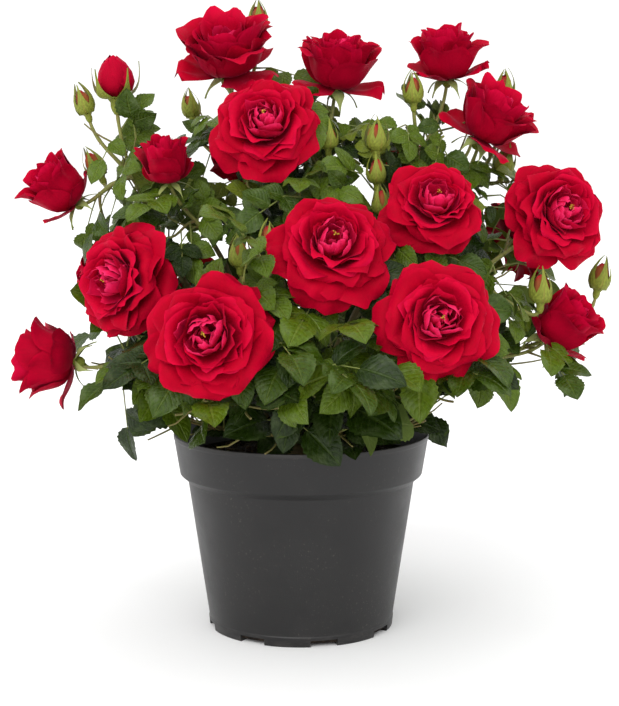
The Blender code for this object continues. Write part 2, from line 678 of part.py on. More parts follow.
def build_notches(cutters):
    length, width, height = NOTCH_SIZE
    for i in range(NOTCHES):
        bm = bmesh.new()
        bmesh.ops.create_cube(bm, size=1.0, matrix=Matrix.Diagonal((length, width, 2 * height, 1.0)))
        turn = Matrix.Rotation(NOTCH_TURN + 2 * math.pi * i / NOTCHES, 4, "Z")
        bm.transform(turn @ Matrix.Translation((POT_BASE_RADIUS, 0.0, 0.0)))
        notch = add_object(bm, f"notch_{i}", cutters)
        notch.hide_render = True
        notch.display_type = "WIRE"


def build_pot(collection, cutters):
    foot_height, foot_depth = POT_FOOT
    outside = [
        (POT_RIM_RADIUS - POT_LIP_ROUND, POT_HEIGHT), (POT_RIM_RADIUS, POT_HEIGHT - POT_LIP_ROUND),
        POT_BAND_FOOT, POT_SHOULDER, (POT_BASE_RADIUS + foot_depth, foot_height + foot_depth),
        (POT_BASE_RADIUS + foot_depth, foot_height), (POT_BASE_RADIUS, 0.0), (0.0, 0.0)]
    profile = [(0.0, POT_WALL)] + wall_inside() + outside
    plastic = finish("charcoal plastic", (0.045, 0.045, 0.047), 0.4)
    pot = turned("pot", profile, collection, plastic, POT_STEPS)
    build_notches(cutters)
    cut = pot.modifiers.new("drainage notches", "BOOLEAN")
    cut.operation = "DIFFERENCE"
    cut.operand_type = "COLLECTION"
    cut.collection = cutters
    return pot


def build_compost(collection):
    floor, shoulder, ledge, lip = wall_inside(GAP)
    share = (COMPOST_TOP - ledge[1]) / (lip[1] - ledge[1])
    heap = COMPOST_TOP + COMPOST_HEAP
    top = [(0.0, heap), (COMPOST_FLAT, heap), (between((ledge[0], lip[0]), share), COMPOST_TOP)]
    profile = top + [ledge, shoulder, floor, (0.0, floor[1])]
    peat = finish("peat compost", (0.020, 0.014, 0.010), 0.95)
    return turned("compost", profile, collection, peat, POT_STEPS)


def build_stem(collection, material):
    """The short stem inside: flared at the compost, with a round head where the canes spring."""
    foot = COMPOST_TOP + COMPOST_HEAP + GAP
    middle = foot + KNUCKLE_HEIGHT
    flare, flare_height = STEM_FLARE
    profile = [(0.0, middle + KNUCKLE_RADIUS)]
    for angle in map(math.radians, KNUCKLE_RINGS):
        profile.append((KNUCKLE_RADIUS * math.cos(angle), middle + KNUCKLE_RADIUS * math.sin(angle)))
    profile += [(flare, foot + flare_height), (flare, foot), (0.0, foot)]
    return turned("stem", profile, collection, material, STEM_STEPS)


def join(name, bodies, collection):
    """One solid from bodies that overlap, given as (mesh, material)."""
    parts = new_collection(f"{name} parts")
    thing = add_object(bodies[0][0], name, collection, bodies[0][1])
    for i, (body, material) in enumerate(bodies[1:]):
        add_object(body, f"{name} {i}", parts, material)
    union = thing.modifiers.new("join", "BOOLEAN")
    union.operation = "UNION"
    union.solver = "MANIFOLD"
    union.material_mode = "TRANSFER"
    union.operand_type = "COLLECTION"
    union.collection = parts
    bpy.context.view_layer.update()
    joined = bpy.data.meshes.new_from_object(thing.evaluated_get(bpy.context.evaluated_depsgraph_get()))
    thing.modifiers.clear()
    thing.data = joined
    for part in list(parts.objects):
        bpy.data.objects.remove(part, do_unlink=True)
    bpy.data.collections.remove(parts)
    return thing


def keep_main_body(thing):
    """Drops the loose scraps and sealed hollows that joining can leave."""
    bm = bmesh.new()
    bm.from_mesh(thing.data)
    unseen = set(bm.verts)
    pieces = []
    while unseen:
        front = [unseen.pop()]
        piece = []
        while front:
            vert = front.pop()
            piece.append(vert)
            fresh = {edge.other_vert(vert) for edge in vert.link_edges} & unseen
            unseen -= fresh
            front.extend(fresh)
        pieces.append(piece)
    for piece in sorted(pieces, key=len)[:-1]:
        bmesh.ops.delete(bm, geom=piece, context="VERTS")
    bm.to_mesh(thing.data)
    bm.free()


def claim_fixed_shapes(space, fixed):
    """Keeps the pot, the compost, the stem and every flower clear of what grows later."""
    bpy.context.view_layer.update()
    graph = bpy.context.evaluated_depsgraph_get()
    for thing in fixed:
        bm = bmesh.new()
        bm.from_object(thing, graph)
        space.add(bm, thing.name)
    for mass in MASSES:
        for flower in mass.flowers:
            space.add(flower_body(flower), f"flower {flower.at}")


def build_limbs(space, collection, bark):
    """The canes from the stem, then the boughs that spring from them."""
    limbs = {}
    for mass in sorted(MASSES, key=lambda mass: bool(mass.parent)):
        if mass.tip:
            limbs[mass.name] = grow_limb(space, mass, limbs)
            add_object(limbs[mass.name].body(), limbs[mass.name].name, collection, bark)
    for mass in MASSES:
        if mass.tip:
            tip, way = limbs[mass.name].at(1.0)
            grow_shoots(space, mass, tip + way * GAP, way, limbs[mass.name].name)
        else:
            grow_shoots(space, mass, *knuckle_spring(mass), "stem")


def build_masses(space, collection, green, red):
    leaves = grow_leaves(space)
    for mass in MASSES:
        bodies = [(shoot.body(), green) for shoot in mass.shoots]
        bodies += [(flower_body(flower), red if flower.opening else green) for flower in mass.flowers]
        bodies += [(leaf_body(leaf), green) for leaf in leaves[mass.name]]
        keep_main_body(join(f"mass_{mass.name}", bodies, collection))


def main():
    clear_scene()
    bush = new_collection("patio rose bush")
    cutters = new_collection("cutters")
    cutters.hide_render = True
    bark = finish("rose bark", (0.10, 0.085, 0.030), 0.6)
    green = finish("rose leaves", (0.035, 0.085, 0.018), 0.45)
    red = finish("rose petals", (0.55, 0.004, 0.012), 0.5)
    space = Space()
    claim_fixed_shapes(space, (build_pot(bush, cutters), build_compost(bush), build_stem(bush, bark)))
    build_limbs(space, bush, bark)
    build_masses(space, bush, green, red)


if __name__ == "__main__":
    main()
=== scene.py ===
"""Patio rose bush in its nursery pot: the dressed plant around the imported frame.

Metres, +Z up, origin on the ground under the middle of the pot, front of the plant towards -Y.
The canes, boughs and shoots grow by the same seeded rule as the solids, then the rule is carried on
to side twigs and to leaves of life size. Blooms, buds and leaves are thin two-sided blades that are
bent into place and joined, each kind apart. A blade's own map, OFBake, has one cell for each finish,
so its veins and shading stay on the blade.
"""

import json
import logging
import math
import random
from collections.abc import Iterable, Iterator
from dataclasses import dataclass, field
from enum import Enum, IntEnum

import bmesh
import bpy
import numpy as np
from bpy.types import Material, Mesh, Node, NodeSocket, NodeTree, Object
from mathutils import Matrix, Vector, noise
from mathutils.bvhtree import BVHTree
from mathutils.geometry import interpolate_bezier

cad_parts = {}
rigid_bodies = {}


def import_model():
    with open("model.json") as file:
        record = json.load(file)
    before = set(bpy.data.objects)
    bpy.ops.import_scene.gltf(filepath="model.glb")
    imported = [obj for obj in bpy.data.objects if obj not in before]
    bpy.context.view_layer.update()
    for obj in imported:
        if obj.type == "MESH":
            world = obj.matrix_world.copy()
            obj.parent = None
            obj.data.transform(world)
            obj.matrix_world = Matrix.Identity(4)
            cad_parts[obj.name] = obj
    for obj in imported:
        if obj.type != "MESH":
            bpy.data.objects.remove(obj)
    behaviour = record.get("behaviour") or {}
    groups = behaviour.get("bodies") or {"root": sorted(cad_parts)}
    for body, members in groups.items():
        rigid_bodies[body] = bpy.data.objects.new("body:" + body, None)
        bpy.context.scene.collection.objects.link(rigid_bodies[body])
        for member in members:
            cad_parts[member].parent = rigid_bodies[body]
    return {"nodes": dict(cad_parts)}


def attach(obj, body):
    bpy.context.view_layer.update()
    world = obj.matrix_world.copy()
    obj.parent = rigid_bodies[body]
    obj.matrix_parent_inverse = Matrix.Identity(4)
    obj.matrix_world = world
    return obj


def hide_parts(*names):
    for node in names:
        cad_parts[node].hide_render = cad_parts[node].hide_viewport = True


log = logging.getLogger("rose")

Colour = tuple[float, float, float]
Pair = tuple[float, float]
UP = Vector((0.0, 0.0, 1.0))
FULL_TURN = 2 * math.pi
BAKE_MAP = "OFBake"
AT_MARGIN = 0.99  # a blade's points this far across lie on its margin
AT_END = 0.999  # and this far along, at its ends
CAP = 0.05  # the share of a turned form's map that each end takes
CELL_MARGIN = 0.02


class Slot(Enum):
    """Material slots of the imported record."""

    POT = "pot"
    COMPOST = "compost"
    BARK = "bark"
    FOLIAGE = "foliage"
    PETALS = "petals"
    TWIGS = "twigs"


class LeafTone(IntEnum):
    """How a leaf is coloured, from the shaded inside of the bush to its youngest tips."""

    DEEP = 0
    MIDDLE = 1
    FRESH = 2
    YOUNG = 3


class PetalTone(IntEnum):
    """How a petal is coloured, from the outermost to the ones folded over the middle."""

    OUTER = 0
    CUP = 1
    HEART = 2
    BUD = 3


class Wood(IntEnum):
    """The finishes of stalks and twigs."""

    TWIG = 0
    STALK = 1
    LEAF_STALK = 2
    PRICKLE = 3


# ---- the rule of growth: shared sizes ----
GAP = 0.0003
COMPOST_TOP = 0.113
COMPOST_HEAP = 0.004
KNUCKLE_RADIUS = 0.0140
KNUCKLE_HEIGHT = 0.0115
CANE_RADII = (0.0034, 0.0021)
BOUGH_RADII = (0.0022, 0.0016)
SHOOT_RADII = (0.0015, 0.0011)
SPRIG_RADII = (0.0012, 0.0007)
SIDE_TWIG_RADII = (0.0008, 0.0005)
COLLAR = 0.0018
LIMB_SIDES, LIMB_POINTS = 5, 7
TWIG_SIDES, TWIG_POINTS = 3, 5
CURVE_REACH = 0.38
FORK_PLACES = (0.35, 0.85)
FORK_LIMIT = 0.6
BEST_FORK, WIDEST_FORK = 35, 80
FORK_CHOICES = 8
TRIES = 60
WIDEST_STRAY = 1.6
CLEARANCE = 0.0007
SEED = 11
LEAF_SEED = 54

SIDE_TWIG_SPACING = 0.012
SIDE_TWIG_LENGTH = (0.014, 0.036)
SIDE_TWIG_WAY = (0.60, 0.75, 0.45, 0.20)  # along the shoot, away from it, outwards and up
SIDE_TWIG_PLACE = (0.3, 0.9)  # where in its stretch of the shoot a side twig springs
SIDE_TWIG_STRAY = 0.3

LEAFLET_LENGTHS = ((0.160, 0.034), (0.250, 0.0185))  # height in the crown, and a leaflet's length there
LEAFLET_STRAY = 0.20  # how much leaves differ in size
LEAFLET_WIDTH = 0.72
LEAFLET_WIDEST = 0.42
FEWEST_LEAFLETS = 2
STALK_LENGTH = (1.15, 1.60)
STALK_SAG = (0.15, 0.50)
STALK_RADII = (0.00055, 0.00035)
PAIRS = ((0.42, 0.76), (0.76, 0.90))
BEND = PAIRS[0][0]
PAIR_ANGLE = math.radians(64)
LEAF_LIFT, LEAF_OUT, LEAF_STRAY = 0.55, 0.80, 0.55
STALK_RUN, STALK_ASIDE, STALK_OUT = 0.45, 0.80, 0.45
STALK_STRAY = 0.16
LEAFY_BACK = 0.170  # no leaflet's tip reaches further back than this
LEAF_SPACING = 0.0095
LEAFY_SHARE = 0.76
THICKET_SHARE = 0.92
GOLDEN_ANGLE = math.radians(137.5)
LEAF_TRIES = 7
# a leaf's light grows by one over this distance from the axis and over this rise from this height
LIGHT_REACH = 0.17
LIGHT_FOOT, LIGHT_RISE = 0.15, 0.26
LIGHT_STRAY = 0.50
MIDDLE_LIGHT, FRESH_LIGHT = 0.56, 0.98  # the light from which leaves have these tones
YOUNG_PLACE, YOUNG_HEIGHT, YOUNG_SHARE = 0.5, 0.25, 0.25  # along a twig, above the ground, and how many
BLADE_ROOM = 0.0011  # how deep a space a leaflet keeps for itself

# height, and how far leaves reach from the pot's axis there
CROWN = ((0.108, 0.114), (0.122, 0.118), (0.140, 0.122), (0.150, 0.128), (0.157, 0.165), (0.162, 0.196),
         (0.230, 0.190), (0.265, 0.180), (0.300, 0.160), (0.340, 0.140), (0.365, 0.100))
RIM_CLEAR = (0.130, 0.092)  # below this height leaves hang only this far aside, clear of the pot's front
CROWN_HEART = 0.165  # height of the leafiest place, on the axis
CROWN_FLATNESS = 0.75  # how much a step up counts against a step aside
# the distance from the leafiest place where the leaves begin to thin out, and where they are thinnest
LEAFY_REACH = (0.060, 0.175)
LEAFY_LEVELS = (0.175, 0.230)  # the leaves thin out between these heights
THINNEST = 0.70  # share of the leaves that are left at the edge
END_LEAVES = 1.5  # how much likelier a leaf is at a tip
OPENING_EDGE = 0.2  # how far a leaflet's middle stays out of the openings, in leaflets
# places that keep all their leaves: aside and height, and radius
THICKETS = ((0.166, 0.170, 0.036), (-0.104, 0.138, 0.032), (0.102, 0.136, 0.030), (-0.104, 0.318, 0.036),
            (-0.135, 0.215, 0.026), (0.140, 0.300, 0.020), (-0.080, 0.290, 0.030), (0.040, 0.326, 0.032),
            (0.078, 0.348, 0.024), (-0.050, 0.275, 0.026), (0.075, 0.318, 0.022))
# where sky shows through from the front: aside and height at the pot's axis, and radius
OPENINGS = ((-0.159, 0.206, 0.012), (-0.154, 0.268, 0.013), (-0.133, 0.282, 0.008), (-0.060, 0.354, 0.011),
            (-0.074, 0.349, 0.009), (-0.060, 0.311, 0.009), (-0.051, 0.304, 0.007), (0.106, 0.143, 0.013),
            (-0.123, 0.146, 0.011), (0.158, 0.166, 0.008), (0.151, 0.175, 0.007), (0.139, 0.230, 0.007),
            (0.111, 0.319, 0.008), (0.132, 0.288, 0.006), (0.150, 0.234, 0.006), (0.154, 0.188, 0.006),
            (0.151, 0.316, 0.012), (0.098, 0.356, 0.010), (0.039, 0.295, 0.006), (-0.090, 0.123, 0.009),
            (0.052, 0.354, 0.009), (-0.135, 0.325, 0.009), (-0.162, 0.243, 0.013), (0.131, 0.140, 0.014),
            (-0.164, 0.222, 0.010), (-0.124, 0.191, 0.006), (-0.141, 0.184, 0.006), (0.134, 0.268, 0.006),
            (0.154, 0.253, 0.006), (0.111, 0.326, 0.007), (0.100, 0.325, 0.006), (-0.126, 0.337, 0.009),
            (-0.055, 0.310, 0.007), (-0.125, 0.309, 0.007), (0.033, 0.345, 0.008), (0.067, 0.338, 0.006),
            (0.127, 0.318, 0.006), (-0.149, 0.171, 0.005), (-0.079, 0.259, 0.005))
VIEWPOINT = Vector((0.0, -1.10, 0.318))
VIEW_LEAN = 0.10
FRONT_LEAN = 0.15
BACK_REACH = (0.03, 0.10)
FACE_SHARE = 0.52

# ---- rough bodies of the flowers, which growth keeps clear of ----
FULL_ROWS = ((0.05, -0.30, 0.0), (0.27, -0.24, 0.03), (0.463, -0.13, 0.08), (0.335, -0.02, 0.05),
             (0.355, 0.09, -0.10), (0.19, 0.13, 0.0), (0.05, 0.16, 0.0))
URN_ROWS = ((0.08, -0.55, 0.0), (0.39, -0.36, 0.02), (0.480, -0.03, 0.04), (0.43, 0.26, 0.06),
            (0.34, 0.28, -0.05), (0.27, 0.41, -0.08), (0.06, 0.40, 0.0))
BUD_ROWS = ((0.12, -0.75, 0.0), (0.50, -0.40, 0.0), (0.46, 0.15, 0.0), (0.20, 0.75, 0.0), (0.03, 1.05, 0.0))
URN_OPENING = 0.35
GOBLET_OPENING = 0.86  # a bloom that is open no further than this is a goblet
GOBLET_REACH = (0.40, 0.72)  # how far open a goblet is with its tightest and with its loosest form
GOBLET_RISE = 60  # a bloom that faces further up than this, in degrees, is drawn as a goblet too
GOBLET_SIZE = 0.80  # a goblet's petals against the width that its loose ones reach
WIDE_HEIGHT = 0.82  # how much lower the widest goblet is
FULL_SEAT_LIFT = 0.09
WIDE_SEAT_LIFT = 0.05
STALK_SUNK = 0.06
BLOOM_SIDES = 10
BUD_SIDES = 5


def between(pair: Pair, share: float) -> float:
    """The value this share of the way from the first of a pair to the second."""
    return pair[0] + (pair[1] - pair[0]) * share


def share_of(pair: Pair, value: float) -> float:
    """How far a value lies from the first of a pair to the second, from 0 to 1."""
    return min(max((value - pair[0]) / (pair[1] - pair[0]), 0.0), 1.0)


def turned(first: Vector, second: Vector, turn: float) -> Vector:
    """The way at a turn from the first of two ways towards the second."""
    return first * math.cos(turn) + second * math.sin(turn)


def any_turn(dice: random.Random) -> float:
    """A random turn."""
    return dice.uniform(0, FULL_TURN)


def nudge(dice: random.Random, amount: float) -> Vector:
    """A small random move."""
    return Vector([dice.uniform(-amount, amount) for _ in range(3)])


# ---- what the bush bears ----
@dataclass
class Flower:
    """A bloom or bud.

    Attributes:
        at: Its middle.
        spread: Its width across.
        azimuth: Where it faces, in degrees: 0 is -Y and 90 is +X.
        rise: How far it faces above level, in degrees.
        opening: 0 for a closed bud, 1 for full blown.
    """

    at: tuple[float, float, float]
    spread: float
    azimuth: float
    rise: float
    opening: float

    @property
    def middle(self) -> Vector:
        """The middle as a vector."""
        return Vector(self.at)

    @property
    def facing(self) -> Vector:
        """The way the flower faces."""
        turn, rise = math.radians(self.azimuth), math.radians(self.rise)
        return Vector((math.sin(turn) * math.cos(rise), -math.cos(turn) * math.cos(rise), math.sin(rise)))

    @property
    def axes(self) -> tuple[Vector, Vector, Vector]:
        """Two ways across the flower, and the way it faces."""
        across = self.facing.orthogonal().normalized()
        return across, self.facing.cross(across), self.facing

    @property
    def blown(self) -> float:
        """0 for a bloom with the urn's form, 1 for the full form."""
        return (self.opening - URN_OPENING) / (1 - URN_OPENING)

    @property
    def rows(self) -> list[tuple[float, float, float]]:
        """Rows of the rough body's radius, height and lobing.

        Returns:
            The rows in shares of the spread, from the flower's foot to its top.
        """
        if self.opening == 0:
            return list(BUD_ROWS)
        return [tuple(u + (f - u) * self.blown for u, f in zip(urn, full))
                for urn, full in zip(URN_ROWS, FULL_ROWS)]

    @property
    def base(self) -> Vector:
        """The receptacle, where the stalk arrives."""
        return self.middle + self.facing * self.spread * (self.rows[0][1] + STALK_SUNK)

    @property
    def is_full(self) -> bool:
        """Whether the bloom lies open and flat."""
        return self.opening > GOBLET_OPENING and self.rise < GOBLET_RISE

    @property
    def seat(self) -> Vector:
        """Where the petals and sepals spring from.

        Returns:
            The point.
        """
        lift = 0.0
        if self.opening > GOBLET_OPENING:
            lift = FULL_SEAT_LIFT if self.is_full else WIDE_SEAT_LIFT
        return self.middle + self.facing * self.spread * (self.rows[0][1] + lift)


@dataclass
class Limb:
    """A tapering cane, bough or twig.

    Attributes:
        name: Its name among what has grown.
        path: The points that the rule tested.
        radii: Its radius at each end.
        sides: Sides of the body that the rule tests.
        flower: The flower at its end, if any.
        bow: The two ends and two handles of its curve.
    """

    name: str
    path: list[Vector]
    radii: Pair
    sides: int
    flower: Flower | None = None
    bow: tuple[Vector, ...] = ()

    def body(self, swell: float = 0.0) -> bmesh.types.BMesh:
        """The plain body that the rule tests."""
        return sweep(self.path, self.radii, self.sides, swell)

    def at(self, share: float) -> tuple[Vector, Vector]:
        """A place along the path.

        Args:
            share: How far along it lies, from 0 to 1.

        Returns:
            The point, and the way the path runs there.
        """
        place = share * (len(self.path) - 1)
        step = min(int(place), len(self.path) - 2)
        start, end = self.path[step], self.path[step + 1]
        return start.lerp(end, place - step), (end - start).normalized()

    def radius(self, share: float) -> float:
        """The radius at this share of the way along."""
        return between(self.radii, share)

    @property
    def length(self) -> float:
        """The length of the tested path."""
        return sum((b - a).length for a, b in zip(self.path, self.path[1:]))

    def drawn(self, step: float) -> list[Vector]:
        """The same curve with a point about every step.

        Args:
            step: The distance between points.

        Returns:
            The points from the joint to the tip.
        """
        count = max(4, round(self.length / step))
        fine = interpolate_bezier(*self.bow, count)
        return [self.path[0]] + fine if (self.path[0] - fine[0]).length > GAP else fine


@dataclass
class Mass:
    """A limb and the shoots, flowers and leaves that it carries.

    Attributes:
        name: Its name, as in the frame's node.
        tip: Where the limb ends and the mass begins.
        flowers: The flowers that it bears.
        sprigs: Where leafy twigs without a flower end.
        turn: A cane's place round the stem, in degrees from -Y towards +X.
        tilt: A cane's lean as it leaves the stem, in degrees from upright.
        parent: The cane that a bough springs from.
        along: The share of the parent's length where it springs.
        shoots: The shoots that have grown.
        twigs: The side twigs that have grown.
    """

    name: str
    tip: tuple
    flowers: list[Flower]
    sprigs: list[tuple]
    turn: float = 0.0
    tilt: float = 40.0
    parent: str = ""
    along: float = 0.0
    shoots: list[Limb] = field(default_factory=list)
    twigs: list[Limb] = field(default_factory=list)


def bloom(x: float, y: float, z: float, spread: float, azimuth: float, rise: float,
          opening: float = 1.0) -> Flower:
    """A bloom with its middle at x, y, z."""
    return Flower((x, y, z), spread, azimuth, rise, opening)


def bud(x: float, y: float, z: float, azimuth: float = 0.0, rise: float = 78.0,
        spread: float = 0.013) -> Flower:
    """A closed bud with its middle at x, y, z."""
    return Flower((x, y, z), spread, azimuth, rise, 0.0)


MASSES = [
    Mass("left_top", (-0.088, 0.010, 0.250), turn=-100, tilt=54, flowers=[
        bud(-0.121, -0.010, 0.362, -40, 82, 0.022), bud(-0.141, -0.006, 0.347, -60, 70),
        bloom(-0.166, 0.000, 0.299, 0.050, -68, 42, 0.5), bud(-0.138, 0.026, 0.306, -70, 62, 0.014)],
         sprigs=[(-0.128, 0.012, 0.262)]),
    Mass("left_mid", (-0.076, -0.030, 0.190), turn=-55, tilt=54, flowers=[
        bloom(-0.115, -0.078, 0.237, 0.070, -38, 6), bloom(-0.174, -0.022, 0.181, 0.058, -92, 2, 0.6)],
         sprigs=[(-0.116, -0.008, 0.168), (-0.104, -0.060, 0.176), (-0.120, -0.004, 0.212)]),
    Mass("front_left", (-0.040, -0.082, 0.166), parent="left_mid", along=0.35, flowers=[
        bloom(-0.054, -0.148, 0.211, 0.076, -6, 12)],
         sprigs=[(-0.076, -0.104, 0.158), (-0.030, -0.118, 0.158), (-0.068, -0.096, 0.205)]),
    Mass("upper_left", (-0.056, -0.026, 0.256), parent="left_top", along=0.5, flowers=[
        bloom(-0.086, -0.042, 0.317, 0.039, -30, 74, 0.4)],
         sprigs=[(-0.082, -0.046, 0.262)]),
    Mass("top_left", (-0.034, 0.012, 0.286), turn=-140, tilt=20, flowers=[
        bloom(-0.049, 0.010, 0.385, 0.080, -12, 62), bud(-0.029, 0.045, 0.404, 0, 84)],
         sprigs=[(-0.066, 0.004, 0.322)]),
    Mass("front_top", (-0.012, -0.036, 0.258), turn=-20, tilt=20, flowers=[
        bloom(-0.022, -0.070, 0.335, 0.070, -6, 30)],
         sprigs=[(0.012, -0.070, 0.290)]),
    Mass("front_mid", (0.008, -0.076, 0.190), turn=-10, tilt=54, flowers=[
        bloom(0.019, -0.122, 0.264, 0.074, 6, 28), bud(-0.037, -0.106, 0.255, -20, 80),
        bud(-0.019, -0.106, 0.264, 5, 84, 0.012)],
         sprigs=[(-0.014, -0.118, 0.206), (0.034, -0.116, 0.196), (0.006, -0.128, 0.176)]),
    Mass("front_right", (0.056, -0.078, 0.168), turn=35, tilt=54, flowers=[
        bloom(0.080, -0.140, 0.220, 0.070, 6, 10)],
         sprigs=[(0.044, -0.120, 0.172), (0.092, -0.104, 0.166), (0.098, -0.086, 0.206)]),
    Mass("upper_right", (0.052, -0.040, 0.230), parent="top_right", along=0.4, flowers=[
        bloom(0.082, -0.088, 0.287, 0.063, 6, 34), bud(0.047, -0.052, 0.324, 0, 86, 0.014),
        bud(0.049, -0.068, 0.284, -10, 76, 0.012)],
         sprigs=[(0.050, -0.078, 0.254)]),
    Mass("right", (0.100, -0.026, 0.224), turn=80, tilt=54, flowers=[
        bloom(0.166, -0.040, 0.279, 0.070, 25, 15), bud(0.152, -0.046, 0.229, 10, 84, 0.015)],
         sprigs=[(0.136, -0.004, 0.262)]),
    Mass("right_low", (0.096, -0.016, 0.170), parent="right", along=0.30, flowers=[
        bloom(0.177, -0.030, 0.213, 0.052, 62, 42, 0.5), bud(0.198, 0.002, 0.233, 50, 76, 0.0145)],
         sprigs=[(0.140, -0.032, 0.168), (0.146, 0.010, 0.184), (0.112, -0.056, 0.176)]),
    Mass("top_mid", (0.014, 0.000, 0.284), parent="top_left", along=0.45, flowers=[
        bloom(0.025, 0.000, 0.381, 0.065, 20, 72, 0.8), bud(0.017, -0.045, 0.324, -10, 86, 0.012)],
         sprigs=[(-0.006, -0.014, 0.330)]),
    Mass("top_right", (0.062, 0.000, 0.276), turn=100, tilt=20, flowers=[
        bloom(0.096, 0.010, 0.388, 0.055, -5, 76, 0.62), bud(0.072, -0.018, 0.354, -20, 84, 0.013),
        bud(0.047, -0.058, 0.303, -10, 82, 0.012)],
         sprigs=[(0.092, -0.004, 0.328)]),
    Mass("right_top", (0.096, 0.026, 0.262), turn=125, tilt=54, flowers=[
        bloom(0.127, -0.010, 0.344, 0.065, 55, 58, 0.85), bud(0.135, 0.014, 0.309, 50, 76, 0.014),
        bud(0.137, 0.037, 0.358, 40, 84)],
         sprigs=[(0.112, 0.006, 0.302)]),
    Mass("back_right", (0.078, 0.058, 0.196), parent="right_top", along=0.3, flowers=[
        bloom(0.100, 0.120, 0.212, 0.064, 150, 12), bloom(0.160, 0.074, 0.256, 0.060, 108, 24)],
         sprigs=[(0.118, 0.058, 0.178), (0.060, 0.112, 0.178)]),
    Mass("back_high", (0.064, 0.052, 0.250), parent="right_top", along=0.5, flowers=[
        bloom(0.080, 0.088, 0.306, 0.058, 155, 44, 0.9), bud(0.122, 0.072, 0.334, 120, 72)],
         sprigs=[(0.048, 0.096, 0.262)]),
    Mass("back", (0.008, 0.080, 0.186), turn=170, tilt=54, flowers=[
        bloom(0.022, 0.142, 0.246, 0.070, 172, 20), bud(0.000, 0.118, 0.290, 180, 78)],
         sprigs=[(-0.020, 0.122, 0.198), (0.040, 0.128, 0.180)]),
    Mass("back_top", (-0.022, 0.054, 0.262), parent="back", along=0.45, flowers=[
        bloom(-0.032, 0.088, 0.324, 0.064, -170, 48, 0.9), bud(-0.076, 0.064, 0.346, -140, 76)],
         sprigs=[(0.008, 0.084, 0.298)]),
    Mass("back_left", (-0.052, 0.072, 0.182), turn=-145, tilt=54, flowers=[
        bloom(-0.064, 0.134, 0.208, 0.070, -166, 12), bud(-0.106, 0.112, 0.258, -150, 72)],
         sprigs=[(-0.092, 0.092, 0.160), (-0.040, 0.114, 0.160)]),
    Mass("left_back", (-0.086, 0.044, 0.196), parent="back_left", along=0.45, flowers=[
        bloom(-0.140, 0.070, 0.236, 0.064, -122, 22, 0.9)],
         sprigs=[(-0.112, 0.064, 0.262), (-0.124, 0.034, 0.216)]),
    Mass("skirt_front", (), turn=12, tilt=86, flowers=[],
         sprigs=[(-0.012, -0.086, 0.146), (0.026, -0.088, 0.146), (-0.048, -0.076, 0.144)]),
    Mass("skirt_right", (), turn=58, tilt=86, flowers=[],
         sprigs=[(0.080, -0.040, 0.144), (0.086, 0.004, 0.146), (0.056, -0.070, 0.144)]),
    Mass("skirt_left", (), turn=-78, tilt=86, flowers=[],
         sprigs=[(-0.082, -0.036, 0.146), (-0.088, 0.006, 0.144), (-0.062, 0.052, 0.142)]),
    Mass("skirt_back", (), turn=148, tilt=86, flowers=[],
         sprigs=[(-0.014, 0.086, 0.142), (0.034, 0.084, 0.144), (0.068, 0.052, 0.142)]),
]


def borne() -> Iterator[tuple[Mass, Flower]]:
    """Each flower, with the mass that bears it."""
    return ((mass, flower) for mass in MASSES for flower in mass.flowers)


# ---- bodies that growth is tested with ----
def loft(rings: list[list[Vector]]) -> bmesh.types.BMesh:
    """A closed body through rings of points, capped at both ends.

    Args:
        rings: The rings, from its foot to its top.

    Returns:
        The body.
    """
    bm = bmesh.new()
    rows = [[bm.verts.new(point) for point in ring] for ring in rings]
    sides = len(rows[0])
    for lower, upper in zip(rows, rows[1:]):
        for i in range(sides):
            j = (i + 1) % sides
            bm.faces.new((lower[i], lower[j], upper[j], upper[i]))
    bm.faces.new(rows[0][::-1])
    bm.faces.new(rows[-1])
    return bm


def sweep(path: list[Vector], radii: Pair, sides: int, swell: float = 0.0) -> bmesh.types.BMesh:
    """A tapering body along a path.

    Args:
        path: The points of its centre line.
        radii: Its radius at each end.
        sides: How many sides it has.
        swell: How much is added to its radius.

    Returns:
        The closed body.
    """
    rings = []
    side = (path[1] - path[0]).orthogonal().normalized()
    for i, point in enumerate(path):
        way = (path[min(i + 1, len(path) - 1)] - path[max(i - 1, 0)]).normalized()
        side = (side - way * side.dot(way)).normalized()
        other = way.cross(side)
        radius = radii[0] + (radii[1] - radii[0]) * i / (len(path) - 1) + swell
        turns = [FULL_TURN * k / sides for k in range(sides)]
        rings.append([point + turned(side, other, turn) * radius for turn in turns])
    return loft(rings)


def flower_body(flower: Flower, swell: float = 0.0) -> bmesh.types.BMesh:
    """A bloom or bud as stacked rows of petal tips.

    Args:
        flower: The flower.
        swell: How much is added to each row's radius.

    Returns:
        The closed body.
    """
    sides = BLOOM_SIDES if flower.opening else BUD_SIDES
    across, other, facing = flower.axes
    rings = []
    for radius, height, lobe in flower.rows:
        ring = []
        for k in range(sides):
            turn = FULL_TURN * k / sides
            reach = flower.spread * radius * (1 + lobe * (1 if k % 2 else -1)) + swell
            way = turned(across, other, turn)
            ring.append(flower.middle + way * reach + facing * flower.spread * height)
        rings.append(ring)
    return loft(rings)


